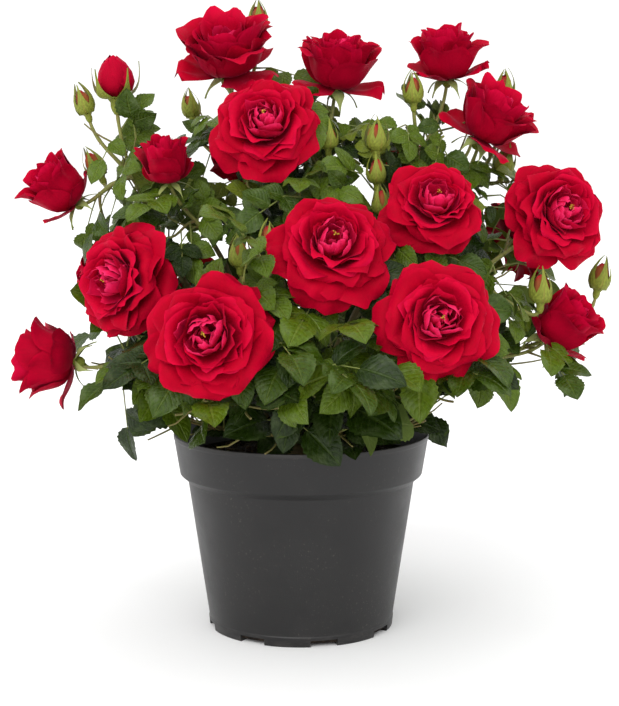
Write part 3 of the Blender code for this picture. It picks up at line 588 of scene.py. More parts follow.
@dataclass
class Body:
    """Something that takes up space: its tree of faces and its box."""

    tree: BVHTree
    low: tuple[float, ...]
    high: tuple[float, ...]

    @classmethod
    def of(cls, bm: bmesh.types.BMesh) -> "Body":
        """The body of a bmesh, which is used up.

        Args:
            bm: The closed mesh.

        Returns:
            Its tree of faces and its box.
        """
        points = [tuple(vert.co) for vert in bm.verts]
        body = cls(BVHTree.FromBMesh(bm), tuple(map(min, zip(*points))), tuple(map(max, zip(*points))))
        bm.free()
        return body

    @classmethod
    def of_faces(cls, points: list[Vector], faces: list[tuple[int, ...]]) -> "Body":
        """The body of some points and faces."""
        tree = BVHTree.FromPolygons(points, faces)
        return cls(tree, tuple(map(min, zip(*points))), tuple(map(max, zip(*points))))

    def meets(self, other: "Body") -> bool:
        """Tests this body against another.

        Args:
            other: The other body.

        Returns:
            Whether their faces meet.
        """
        for axis in range(3):
            if self.low[axis] > other.high[axis] or other.low[axis] > self.high[axis]:
                return False
        return bool(self.tree.overlap(other.tree))


class Space:
    """What has grown so far, sorted into cells, which new growth keeps clear of."""

    CELL = 0.03

    def __init__(self) -> None:
        """An empty space."""
        self.taken: list[tuple[str, Body]] = []
        self.cells: dict[tuple[int, int, int], list[int]] = {}

    def cells_of(self, body: Body) -> Iterator[tuple[int, int, int]]:
        """The cells that a body's box reaches into.

        Args:
            body: The body.

        Returns:
            Each cell's three indices.
        """
        spans = [range(math.floor(low / self.CELL), math.floor(high / self.CELL) + 1)
                 for low, high in zip(body.low, body.high)]
        return ((x, y, z) for x in spans[0] for y in spans[1] for z in spans[2])

    def add(self, body: Body, owner: str) -> None:
        """Takes up space under an owner's name.

        Args:
            body: The body.
            owner: The name.
        """
        for cell in self.cells_of(body):
            self.cells.setdefault(cell, []).append(len(self.taken))
        self.taken.append((owner, body))

    def free(self, body: Body, friends: Iterable[str] = ()) -> bool:
        """Whether a body touches nothing but its friends.

        Args:
            body: The body, drawn a little swollen.
            friends: Owners that it may touch.

        Returns:
            True where there is room.
        """
        near = {index for cell in self.cells_of(body) for index in self.cells.get(cell, ())}
        for index in near:
            owner, other = self.taken[index]
            if owner not in friends and body.meets(other):
                return False
        return True


# ---- growth ----
@dataclass
class Leaf:
    """A leaf: its stalk, the way it faces, its leaflets and its tone.

    Attributes:
        stalk: Its root, its bend and its end.
        normal: The way its face looks.
        tone: Its colour.
        leaflets: Each one's share of the stalk, its way and its length.
    """

    stalk: list[Vector]
    normal: Vector
    tone: LeafTone = LeafTone.MIDDLE
    leaflets: list[tuple[float, Vector, float]] = field(default_factory=list)

    def point(self, share: float) -> Vector:
        """The point at this share of the stalk."""
        root, bend, end = self.stalk
        return root.lerp(bend, share / BEND) if share < BEND else bend.lerp(end, (share - BEND) / (1 - BEND))


@dataclass
class LeafRoot:
    """A place where a leaf may spring.

    Attributes:
        shoot: The shoot's name.
        at: The place.
        run: The shoot's way there.
        turn: The leaf's turn round the shoot, or None at its end.
        young: How young the wood is, from 0 to 1.
    """

    shoot: str
    at: Vector
    run: Vector
    turn: float | None
    young: float


def find_limb(space: Space, dice: random.Random, limb: Limb, ends: tuple[Vector, Vector, Vector, Vector],
              points: int, friends: set[str], collar: float) -> bool:
    """Gives a limb the straightest smooth path between two ends that is clear of what has grown.

    Args:
        space: What has grown.
        dice: The source of chance.
        limb: The limb, which gets its path.
        ends: Where it starts, its way there, where it ends, and its way there.
        points: How many points the path has.
        friends: What it may touch.
        collar: The length of the straight stretch that it starts with.

    Returns:
        Whether there was a way.
    """
    start, start_way, end, end_way = ends
    begin = start + start_way * collar
    reach = (end - begin).length * CURVE_REACH
    for attempt in range(TRIES):
        stray = attempt / TRIES * WIDEST_STRAY
        leave = (start_way + nudge(dice, stray / 2)).normalized()
        arrive = (end_way + nudge(dice, stray)).normalized()
        limb.bow = (begin, begin + leave * reach, end - arrive * reach, end)
        path = interpolate_bezier(*limb.bow, points)
        limb.path = [start] + path if collar else path
        if space.free(Body.of(limb.body(CLEARANCE)), friends):
            return True
    return False


def knuckle_spring(mass: Mass) -> tuple[Vector, Vector]:
    """Where a cane or a low mass leaves the head of the stem, and which way.

    Args:
        mass: The mass.

    Returns:
        The place and the way.
    """
    turn, tilt = math.radians(mass.turn), math.radians(mass.tilt)
    way = Vector((math.sin(turn) * math.sin(tilt), -math.cos(turn) * math.sin(tilt), math.cos(tilt)))
    middle = Vector((0.0, 0.0, COMPOST_TOP + COMPOST_HEAP + GAP + KNUCKLE_HEIGHT))
    return middle + way * (KNUCKLE_RADIUS + GAP), way


def in_crown(point: Vector) -> bool:
    """Whether a point lies within the crown's outline.

    Args:
        point: The point.

    Returns:
        Whether it does.
    """
    if point.z < RIM_CLEAR[0] and abs(point.x) < RIM_CLEAR[1]:
        return False
    for (low, near), (high, far) in zip(CROWN, CROWN[1:]):
        if low <= point.z <= high:
            return point.xy.length <= between((near, far), (point.z - low) / (high - low))
    return False


def blocks_opening(point: Vector, margin: float) -> bool:
    """Whether a point lies in an opening as seen from the front, or within a margin of it.

    Args:
        point: The point.
        margin: The margin.

    Returns:
        Whether it does.
    """
    away = point - VIEWPOINT
    share = -VIEWPOINT.y / away.y
    across, up = away.x * share, VIEWPOINT.z + away.z * share
    return any(math.hypot(across - x, up - z) < radius + margin for x, z, radius in OPENINGS)


def in_thicket(point: Vector) -> bool:
    """Whether a point lies in a place that keeps all its leaves."""
    return any(math.hypot(point.x - aside, point.z - height) < reach for aside, height, reach in THICKETS)


def leafiness(point: Vector) -> float:
    """The share of leaves that the bush has at a point: all low in the middle, few at its edge.

    Args:
        point: The point.

    Returns:
        The share, from 0 to 1.
    """
    if in_thicket(point):
        return 1.0
    away = math.hypot(point.x, point.y, (point.z - CROWN_HEART) * CROWN_FLATNESS)
    return between((1.0, THINNEST), share_of(LEAFY_REACH, away) * share_of(LEAFY_LEVELS, point.z))


def hides_flower(point: Vector) -> bool:
    """Whether a point lies right in front of an open bloom.

    Args:
        point: The point.

    Returns:
        Whether it does.
    """
    for _, flower in borne():
        if not flower.opening:
            continue
        away = point - flower.middle
        outward = Vector((flower.middle.x, flower.middle.y - VIEW_LEAN, 0.0)).normalized()
        view = (VIEWPOINT - flower.middle).normalized()
        for way in (flower.facing, outward, view if flower.middle.y < BACK_REACH[0] else outward):
            depth = away.dot(way)
            if depth > 0 and (away - way * depth).length < flower.spread * FACE_SHARE:
                return True
    return False


def side_way(run: Vector, turn: float, outward: Vector, shares: tuple[float, ...]) -> Vector:
    """A way off a shoot.

    Args:
        run: The shoot's way.
        turn: The turn round the shoot.
        outward: The way out of the bush there.
        shares: How much of the run, of the side, of outwards and of up it takes.

    Returns:
        The way, of no set length.
    """
    across = run.orthogonal().normalized()
    out = turned(across, run.cross(across), turn)
    return run * shares[0] + out * shares[1] + outward * shares[2] + UP * shares[3]


def outward_of(point: Vector) -> Vector:
    """The level way out of the bush at a point, turned to the front except at the back."""
    lean = FRONT_LEAN * (1 - share_of(BACK_REACH, point.y))
    return Vector((point.x, point.y - lean, 0.0)).normalized()


@dataclass
class Growth:
    """The bush's wood and leaves, grown by the seeded rule.

    Attributes:
        space: What has grown.
        limbs: The canes and boughs by the name of their mass.
        leaves: The leaves by the name of their mass.
    """

    space: Space = field(default_factory=Space)
    limbs: dict[str, Limb] = field(default_factory=dict)
    leaves: dict[str, list[Leaf]] = field(default_factory=dict)

    def claim(self, nodes: dict[str, Object], names: Iterable[str]) -> None:
        """Keeps fixed nodes and every flower clear of what grows later.

        Args:
            nodes: The frame's nodes.
            names: The fixed ones.
        """
        for name in names:
            mesh = nodes[name].data
            points = [vert.co.copy() for vert in mesh.vertices]
            self.space.add(Body.of_faces(points, [tuple(face.vertices) for face in mesh.polygons]), name)
        for _, flower in borne():
            self.space.add(Body.of(flower_body(flower)), f"flower {flower.at}")

    def grow_limb(self, mass: Mass) -> None:
        """Grows the cane or bough under a mass.

        Args:
            mass: The mass.
        """
        dice = random.Random(f"{SEED} limb {mass.name}")
        tip = Vector(mass.tip)
        ends = [flower.base for flower in mass.flowers] + [Vector(sprig) for sprig in mass.sprigs]
        heart = sum(ends, Vector()) / len(ends)
        tip_way = ((heart - tip).normalized() + UP / 2).normalized()
        if mass.parent:
            parent = self.limbs[mass.parent]
            joint, run = parent.at(mass.along)
            away = tip - joint
            way = (away - run * away.dot(run)).normalized()
            start = joint + way * (parent.radius(mass.along) + GAP)
            limb = Limb(f"bough_{mass.name}", [], BOUGH_RADII, LIMB_SIDES)
            friends = {parent.name}
        else:
            start, way = knuckle_spring(mass)
            limb = Limb(f"cane_{mass.name}", [], CANE_RADII, LIMB_SIDES)
            friends = {"stem"}
        if not find_limb(self.space, dice, limb, (start, way, tip, tip_way), LIMB_POINTS, friends, COLLAR):
            raise ValueError(f"no way for {limb.name}")
        self.space.add(Body.of(limb.body()), limb.name)
        self.limbs[mass.name] = limb

    @staticmethod
    def fork_places(shoots: list[Limb], end: Vector) -> list[tuple]:
        """Places that a twig to this end may leave from, the handiest first.

        Args:
            shoots: The shoots that it may leave.
            end: Where it goes.

        Returns:
            Each place's cost, point, run and shoot.
        """
        found = []
        for shoot in shoots:
            steps = len(shoot.path) - 1
            for step in range(steps):
                for place in FORK_PLACES:
                    share = (step + place) / steps
                    start, run = shoot.at(share)
                    bend = math.degrees((end - start).angle(run))
                    if bend < WIDEST_FORK and (share < FORK_LIMIT or not shoot.flower):
                        cost = (end - start).length * (1 + abs(bend - BEST_FORK) / WIDEST_FORK)
                        found.append((cost, start, run, shoot.name))
        return sorted(found)[:FORK_CHOICES]

    def grow_shoots(self, mass: Mass, root: Vector, way: Vector, limb_name: str) -> None:
        """The leader of a mass, then a twig to each other flower and sprig.

        Args:
            mass: The mass.
            root: Where its leader starts.
            way: The leader's way there.
            limb_name: What the leader springs from.
        """
        dice = random.Random(f"{SEED} shoots {mass.name}")
        targets: list[tuple[Vector, Flower | None]] = [(flower.base, flower) for flower in mass.flowers]
        targets += [(Vector(end), None) for end in mass.sprigs]
        for end, flower in targets:
            name = f"shoot {mass.name} {len(mass.shoots)}"
            shoot = Limb(name, [], SHOOT_RADII if flower else SPRIG_RADII, TWIG_SIDES, flower)
            forks = self.fork_places(mass.shoots, end) if mass.shoots else [(0.0, root, way, limb_name)]
            for _, start, run, parent in forks:
                towards = (end - start).normalized()
                leave = (towards + run / 2).normalized() if mass.shoots else way
                arrive = (flower.facing + UP / 2 if flower else towards + UP / 5).normalized()
                friends = {parent, f"flower {flower.at}" if flower else ""}
                collar = 0.0 if mass.shoots else COLLAR
                if find_limb(self.space, dice, shoot, (start, leave, end, arrive), TWIG_POINTS, friends,
                             collar):
                    self.space.add(Body.of(shoot.body()), name)
                    mass.shoots.append(shoot)
                    break

    def grow_side_twigs(self, mass: Mass) -> None:
        """Grows finer twigs along the shoots of a mass.

        Args:
            mass: The mass.
        """
        dice = random.Random(f"{SEED} side twigs {mass.name}")
        for shoot in mass.shoots:
            total = shoot.length
            for count in range(int(total / SIDE_TWIG_SPACING)):
                share = (count + dice.uniform(*SIDE_TWIG_PLACE)) * SIDE_TWIG_SPACING / total
                start, run = shoot.at(share)
                if shoot.flower and share > (THICKET_SHARE if in_thicket(start) else LEAFY_SHARE):
                    continue
                way = side_way(run, count * GOLDEN_ANGLE, outward_of(start), SIDE_TWIG_WAY).normalized()
                end = start + way * dice.uniform(*SIDE_TWIG_LENGTH)
                if not in_crown(end) or hides_flower(end) or blocks_opening(end, 0.0):
                    continue
                twig = Limb(f"{shoot.name} side {count}", [], SIDE_TWIG_RADII, TWIG_SIDES)
                arrive = (way + UP / 3 + nudge(dice, SIDE_TWIG_STRAY)).normalized()
                if find_limb(self.space, dice, twig, (start, way, end, arrive), TWIG_POINTS, {shoot.name},
                             0.0):
                    self.space.add(Body.of(twig.body()), twig.name)
                    mass.twigs.append(twig)

    def grow_wood(self) -> None:
        """The canes from the stem, the boughs that spring from them, and the shoots."""
        for mass in sorted(MASSES, key=lambda mass: bool(mass.parent)):
            if mass.tip:
                self.grow_limb(mass)
        for mass in MASSES:
            if mass.tip:
                tip, way = self.limbs[mass.name].at(1.0)
                self.grow_shoots(mass, tip + way * GAP, way, self.limbs[mass.name].name)
            else:
                self.grow_shoots(mass, *knuckle_spring(mass), "stem")
        for mass in MASSES:
            self.grow_side_twigs(mass)

    @staticmethod
    def leaf_roots(mass: Mass) -> list[LeafRoot]:
        """Where leaves may spring from a mass's shoots and side twigs.

        Args:
            mass: The mass.

        Returns:
            The places, with those at the tips first.
        """
        roots = []
        dice = random.Random(f"{LEAF_SEED} leaf roots {mass.name}")
        for shoot in mass.shoots + mass.twigs:
            total = shoot.length
            fine = shoot in mass.twigs
            for count in range(int(total / LEAF_SPACING)):
                share = (count + 0.5) * LEAF_SPACING / total
                place, run = shoot.at(share)
                if shoot.flower and share > (THICKET_SHARE if in_thicket(place) else LEAFY_SHARE):
                    continue
                if dice.random() < leafiness(place):
                    young = share if fine else share / 2
                    roots.append(LeafRoot(shoot.name, place, run, count * GOLDEN_ANGLE, young))
            end, run = shoot.at(1.0)
            if not shoot.flower and dice.random() < leafiness(end) * END_LEAVES:
                roots.insert(0, LeafRoot(shoot.name, end - run * shoot.radii[1], run, None, 1.0))
        return roots

    def has_room(self, leaf: Leaf, leaflet: tuple[float, Vector, float]) -> bool:
        """Whether a leaflet stays in the crown, hides no bloom and touches nothing.

        Args:
            leaf: The leaf that it is part of.
            leaflet: Its place along the stalk, its way and its length.

        Returns:
            Whether it does.
        """
        share, way, length = leaflet
        base = leaf.point(share)
        tip = base + way * length
        middle = base.lerp(tip, 0.5)
        if not in_crown(tip) or tip.y > LEAFY_BACK:
            return False
        if any(hides_flower(place) for place in (base, middle, tip)):
            return False
        if blocks_opening(tip, 0.0) or blocks_opening(middle, length * OPENING_EDGE):
            return False
        return self.space.free(blade_room(base, way, leaf.normal, length))

    def grow_leaf(self, dice: random.Random, root: LeafRoot) -> Leaf | None:
        """A leaf of up to five leaflets on one stalk.

        Args:
            dice: The source of chance.
            root: Where it springs from.

        Returns:
            The leaf, or None.
        """
        (low, longest), (high, shortest) = LEAFLET_LENGTHS
        length = between((longest, shortest), min(max((root.at.z - low) / (high - low), 0), 1))
        length *= dice.uniform(1 - LEAFLET_STRAY, 1 + LEAFLET_STRAY)
        outward = outward_of(root.at)
        for attempt in range(LEAF_TRIES):
            if root.turn is None:
                way = (root.run + nudge(dice, (attempt + 1) / LEAF_TRIES)).normalized()
            else:
                turn = root.turn + attempt * GOLDEN_ANGLE / 2
                way = side_way(root.run, turn, outward, (STALK_RUN, STALK_ASIDE, STALK_OUT, 0.0))
                way = (way + nudge(dice, STALK_STRAY)).normalized()
            shorter = 1 - attempt / LEAF_TRIES / 2
            reach = way * length * dice.uniform(*STALK_LENGTH) * shorter
            sag = UP * length * dice.uniform(*STALK_SAG) / shorter
            stalk = [root.at, root.at + reach * BEND, root.at + reach - sag]
            if not self.space.free(Body.of(sweep(stalk, STALK_RADII, TWIG_SIDES, CLEARANCE)), {root.shoot}):
                continue
            end_way = (stalk[2] - stalk[1]).normalized()
            face = UP * LEAF_LIFT + outward * LEAF_OUT + nudge(dice, LEAF_STRAY)
            leaf = Leaf(stalk, (face - end_way * face.dot(end_way)).normalized())
            side = leaf.normal.cross(end_way)
            leaf.leaflets.append((1.0, end_way, length))
            for share, size in PAIRS:
                for hand in (-1, 1):
                    spread = end_way * math.cos(PAIR_ANGLE) + side * math.sin(PAIR_ANGLE) * hand
                    spread += nudge(dice, STALK_STRAY)
                    leaf.leaflets.append((share, spread.normalized(), length * size))
            leaf.leaflets = [leaflet for leaflet in leaf.leaflets if self.has_room(leaf, leaflet)]
            if len(leaf.leaflets) >= FEWEST_LEAFLETS and leaf.leaflets[0][0] == 1.0:
                leaf.tone = self.tone_of(dice, root)
                return leaf
        return None

    @staticmethod
    def tone_of(dice: random.Random, root: LeafRoot) -> LeafTone:
        """A leaf's tone: deep inside and low down, fresh further out, young on the newest tips; the darker
        tones where a leaf gets less light are partly painted shade, partly the darker green of shaded leaves.

        Args:
            dice: The source of chance.
            root: Where the leaf springs from.

        Returns:
            The tone.
        """
        light = root.at.xy.length / LIGHT_REACH + (root.at.z - LIGHT_FOOT) / LIGHT_RISE
        light += dice.uniform(-LIGHT_STRAY, LIGHT_STRAY)
        if root.young > YOUNG_PLACE and root.at.z > YOUNG_HEIGHT and dice.random() < YOUNG_SHARE:
            return LeafTone.YOUNG
        if light > FRESH_LIGHT:
            return LeafTone.FRESH
        return LeafTone.MIDDLE if light > MIDDLE_LIGHT else LeafTone.DEEP

    def grow_leaves(self) -> None:
        """Leaves for every mass, one each in turn, so that none takes another's light."""
        waiting = {mass.name: self.leaf_roots(mass) for mass in MASSES}
        self.leaves = {mass.name: [] for mass in MASSES}
        while any(waiting.values()):
            for name, roots in waiting.items():
                dice = random.Random(f"{LEAF_SEED} leaf {name} {len(roots)}")
                leaf = self.grow_leaf(dice, roots.pop(0)) if roots else None
                if not leaf:
                    continue
                for share, way, length in leaf.leaflets:
                    room = blade_room(leaf.point(share), way, leaf.normal, length)
                    self.space.add(room, f"leaves {name}")
                self.space.add(Body.of(sweep(leaf.stalk, STALK_RADII, TWIG_SIDES)), f"leaves {name}")
                self.leaves[name].append(leaf)


BLADE_ROOM_FACES = [(0, 1, 2), (0, 2, 3), (4, 6, 5), (4, 7, 6), (0, 4, 5, 1), (1, 5, 6, 2), (2, 6, 7, 3),
                    (3, 7, 4, 0)]


def blade_room(base: Vector, way: Vector, normal: Vector, length: float) -> Body:
    """The flat kite of space that a leaflet keeps for itself.

    Args:
        base: Where it starts.
        way: Its way.
        normal: The way its face looks.
        length: Its length.

    Returns:
        The space as a body.
    """
    side = normal.cross(way).normalized() * (length * LEAFLET_WIDTH / 2)
    depth = way.cross(side).normalized() * (BLADE_ROOM / 2)
    start = base + way * CLEARANCE * 3
    widest = base + way * length * LEAFLET_WIDEST
    kite = [start, widest - side, base + way * length, widest + side]
    return Body.of_faces([point + depth for point in kite] + [point - depth for point in kite],
                         BLADE_ROOM_FACES)


# ---- thin blades and how they are joined ----
@dataclass
class Form:
    """A shape that is bent or moved into place many times.

    Attributes:
        points: Its points; a blade's are across from -1 to 1, along from 0 to 1, and 1 or -1 by side.
        corners: The point at each corner of each face.
        sizes: How many corners each face has.
        places: Each corner's place on the finish, from 0 to 1.
        under: 1 for each face on the underside.
        teeth: 1 and -1 by turns along a blade's two margins, 0 elsewhere.
    """

    points: np.ndarray
    corners: np.ndarray
    sizes: np.ndarray
    places: np.ndarray
    under: np.ndarray
    teeth: np.ndarray

    @classmethod
    def of(cls, bm: bmesh.types.BMesh, rows: int = 0) -> "Form":
        """The form of a bmesh, which is used up.

        Args:
            bm: The shape, with its map and with the underside as the second material.
            rows: How many rows a blade with teeth has.

        Returns:
            The form.
        """
        layer = bm.loops.layers.uv.verify()
        bm.verts.index_update()
        points = np.array([vert.co for vert in bm.verts])
        teeth = np.zeros(len(points))
        if rows:
            margin = np.abs(points[:, 0]) > AT_MARGIN
            teeth[margin] = np.where(np.round(points[margin, 1] * rows) % 2, 1.0, -1.0)
        form = cls(
            points=points,
            corners=np.array([loop.vert.index for face in bm.faces for loop in face.loops]),
            sizes=np.array([len(face.verts) for face in bm.faces]),
            places=np.array([tuple(loop[layer].uv) for face in bm.faces for loop in face.loops]),
            under=np.array([face.material_index for face in bm.faces]),
            teeth=teeth)
        bm.free()
        return form

    @classmethod
    def blade(cls, across: int, beneath: int, along: int, pointed: bool) -> "Form":
        """A thin closed blade: two sheets that meet at the margin.

        Args:
            across: Faces across its upper side.
            beneath: Faces across its underside.
            along: Faces along it.
            pointed: Whether both its ends close to a point.

        Returns:
            The form.
        """
        bm = bmesh.new()
        layer = bm.loops.layers.uv.verify()
        for side, segments in enumerate((across, beneath)):
            made = bmesh.ops.create_grid(bm, x_segments=segments, y_segments=along, size=1.0)["verts"]
            faces = list({face for vert in made for face in vert.link_faces})
            for face in faces:
                face.material_index = side
                for loop in face.loops:
                    loop[layer].uv = ((loop.vert.co.x + 1) / 2, (loop.vert.co.y + 1) / 2)
            if side:
                bmesh.ops.reverse_faces(bm, faces=faces)
            for vert in made:
                vert.co.z = 0.0 if vert.is_boundary else 1.0 - 2.0 * side
        for vert in bm.verts:
            if pointed and abs(vert.co.y) > AT_END:
                vert.co.x = 0.0
            vert.co.y = (vert.co.y + 1) / 2
        bmesh.ops.remove_doubles(bm, verts=bm.verts, dist=1e-5)
        return cls.of(bm, along if pointed else 0)

    @classmethod
    def turned(cls, profile: Iterable[Pair], steps: int) -> "Form":
        """A body turned round Z.

        Args:
            profile: The radius and height of each point, from its foot to its top.
            steps: Faces round it.

        Returns:
            The form, with its places once round and from foot to top.
        """
        bm = bmesh.new()
        spin_profile(bm, profile, steps)
        form = cls.of(bm)
        corners = form.points[form.corners]
        low, high = form.points[:, 2].min(), form.points[:, 2].max()
        up = (corners[:, 2] - low) / (high - low)
        wide = np.minimum(np.hypot(corners[:, 0], corners[:, 1]) / max(radius for radius, _ in profile), 1)
        turn = np.abs(np.arctan2(corners[:, 1], corners[:, 0])) / math.pi
        form.places = np.stack([turn, CAP + (1 - 2 * CAP) * up + (2 * up - 1) * (1 - wide) * CAP], axis=1)
        return form

    def moved(self, frame: Matrix) -> np.ndarray:
        """The form's points moved by a matrix."""
        return self.points @ np.array(frame.to_3x3()).T + np.array(frame.translation)


def spin_profile(bm: bmesh.types.BMesh, profile: list[Pair], steps: int) -> None:
    """Turns a profile round Z into a closed skin.

    Args:
        bm: Where the skin goes.
        profile: Radius and height of each point.
        steps: Faces round it.
    """
    verts = [bm.verts.new((radius, 0.0, height)) for radius, height in profile]
    edges = [bm.edges.new(pair) for pair in zip(verts, verts[1:])]
    bmesh.ops.spin(bm, geom=verts + edges, cent=(0, 0, 0), axis=(0, 0, 1), angle=FULL_TURN, steps=steps,
                   use_merge=True)
    bmesh.ops.remove_doubles(bm, verts=bm.verts, dist=1e-6)
    bmesh.ops.recalc_face_normals(bm, faces=bm.faces)


def cells_along(looks: int) -> int:
    """How many cells the map of a piece with so many finishes has along each side."""
    return math.ceil(math.sqrt(looks))


def cell_of(look: int, looks: int) -> tuple[int, int]:
    """The cell of the map that a finish has, so that the finishes reach across the whole map.

    Args:
        look: The finish's place among the piece's finishes.
        looks: How many finishes there are.

    Returns:
        The cell's column and row.
    """
    cells = cells_along(looks)
    place = look * (cells * cells - 1) // max(looks - 1, 1)
    return place % cells, place // cells


@dataclass
class Joined:
    """Many bent forms joined into one mesh.

    Attributes:
        looks: How many finishes the piece has; two-sided forms use two for each tone.
        two_sided: Whether the underside has its own finish.
    """

    looks: int
    two_sided: bool = True
    points: list[np.ndarray] = field(default_factory=list)
    corners: list[np.ndarray] = field(default_factory=list)
    sizes: list[np.ndarray] = field(default_factory=list)
    places: list[np.ndarray] = field(default_factory=list)
    look: list[np.ndarray] = field(default_factory=list)
    count: int = 0

    def add(self, form: Form, points: np.ndarray, tone: int) -> None:
        """Adds one form.

        Args:
            form: The form.
            points: Its points in place.
            tone: Which tone it has.
        """
        look = tone * 2 + form.under if self.two_sided else np.full(len(form.sizes), tone)
        cells = np.array([cell_of(index, self.looks) for index in range(self.looks)])
        shift = np.repeat(cells[look], form.sizes, axis=0)
        places = CELL_MARGIN + form.places * (1 - 2 * CELL_MARGIN)
        self.points.append(points)
        self.corners.append(form.corners + self.count)
        self.sizes.append(form.sizes)
        self.places.append((shift + places) / cells_along(self.looks))
        self.look.append(look)
        self.count += len(points)

    def build(self, name: str, materials: list[Material], sharp: float) -> Object:
        """The joined piece.

        Args:
            name: Its name.
            materials: Its finishes.
            sharp: The angle between faces, in degrees, past which an edge is sharp.

        Returns:
            The piece's object.
        """
        sizes = np.concatenate(self.sizes)
        corners = np.concatenate(self.corners)
        mesh = bpy.data.meshes.new(name)
        mesh.vertices.add(self.count)
        mesh.vertices.foreach_set("co", np.concatenate(self.points).astype(np.float32).ravel())
        mesh.loops.add(len(corners))
        mesh.loops.foreach_set("vertex_index", corners.astype(np.int32))
        mesh.polygons.add(len(sizes))
        mesh.polygons.foreach_set("loop_start", (np.cumsum(sizes) - sizes).astype(np.int32))
        mesh.polygons.foreach_set("material_index", np.concatenate(self.look).astype(np.int32))
        mesh.update(calc_edges=True)
        layer = mesh.uv_layers.new(name=BAKE_MAP)
        layer.uv.foreach_set("vector", np.concatenate(self.places).astype(np.float32).ravel())
        mesh.validate()
        return add_piece(mesh, materials, sharp)


def add_piece(mesh: Mesh, materials: list[Material], sharp: float) -> Object:
    """Puts a mesh into the scene with its finishes and smooth shading.

    Args:
        mesh: The mesh.
        materials: Its finishes.
        sharp: The angle between faces, in degrees, past which an edge is sharp.

    Returns:
        The new object.
    """
    for material in materials:
        mesh.materials.append(material)
    mesh.shade_smooth()
    mesh.set_sharp_from_angle(angle=math.radians(sharp))
    piece = bpy.data.objects.new(mesh.name, mesh)
    bpy.context.scene.collection.objects.link(piece)
    return piece


def mesh_of(bm: bmesh.types.BMesh, name: str) -> Mesh:
    """A mesh made from a bmesh, which is used up.

    Args:
        bm: The bmesh.
        name: The mesh's name.

    Returns:
        The mesh.
    """
    mesh = bpy.data.meshes.new(name)
    bm.to_mesh(mesh)
    bm.free()
    return mesh


def settled(piece: Object) -> Mesh:
    """The mesh of an object with its modifiers applied; the object is removed.

    Args:
        piece: The object.

    Returns:
        The mesh.
    """
    bpy.context.view_layer.update()
    graph = bpy.context.evaluated_depsgraph_get()
    mesh = bpy.data.meshes.new_from_object(piece.evaluated_get(graph))
    bpy.data.objects.remove(piece, do_unlink=True)
    return mesh


def enrol(piece: Object, nodes: Iterable[str]) -> Object:
    """Reports a piece to the frame.

    Args:
        piece: The piece.
        nodes: The nodes that it stands for.

    Returns:
        The piece.
    """
    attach(piece, "root")
    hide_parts(*nodes)
    piece.data.calc_loop_triangles()
    log.info("%s: %d triangles", piece.name, len(piece.data.loop_triangles))
    return piece


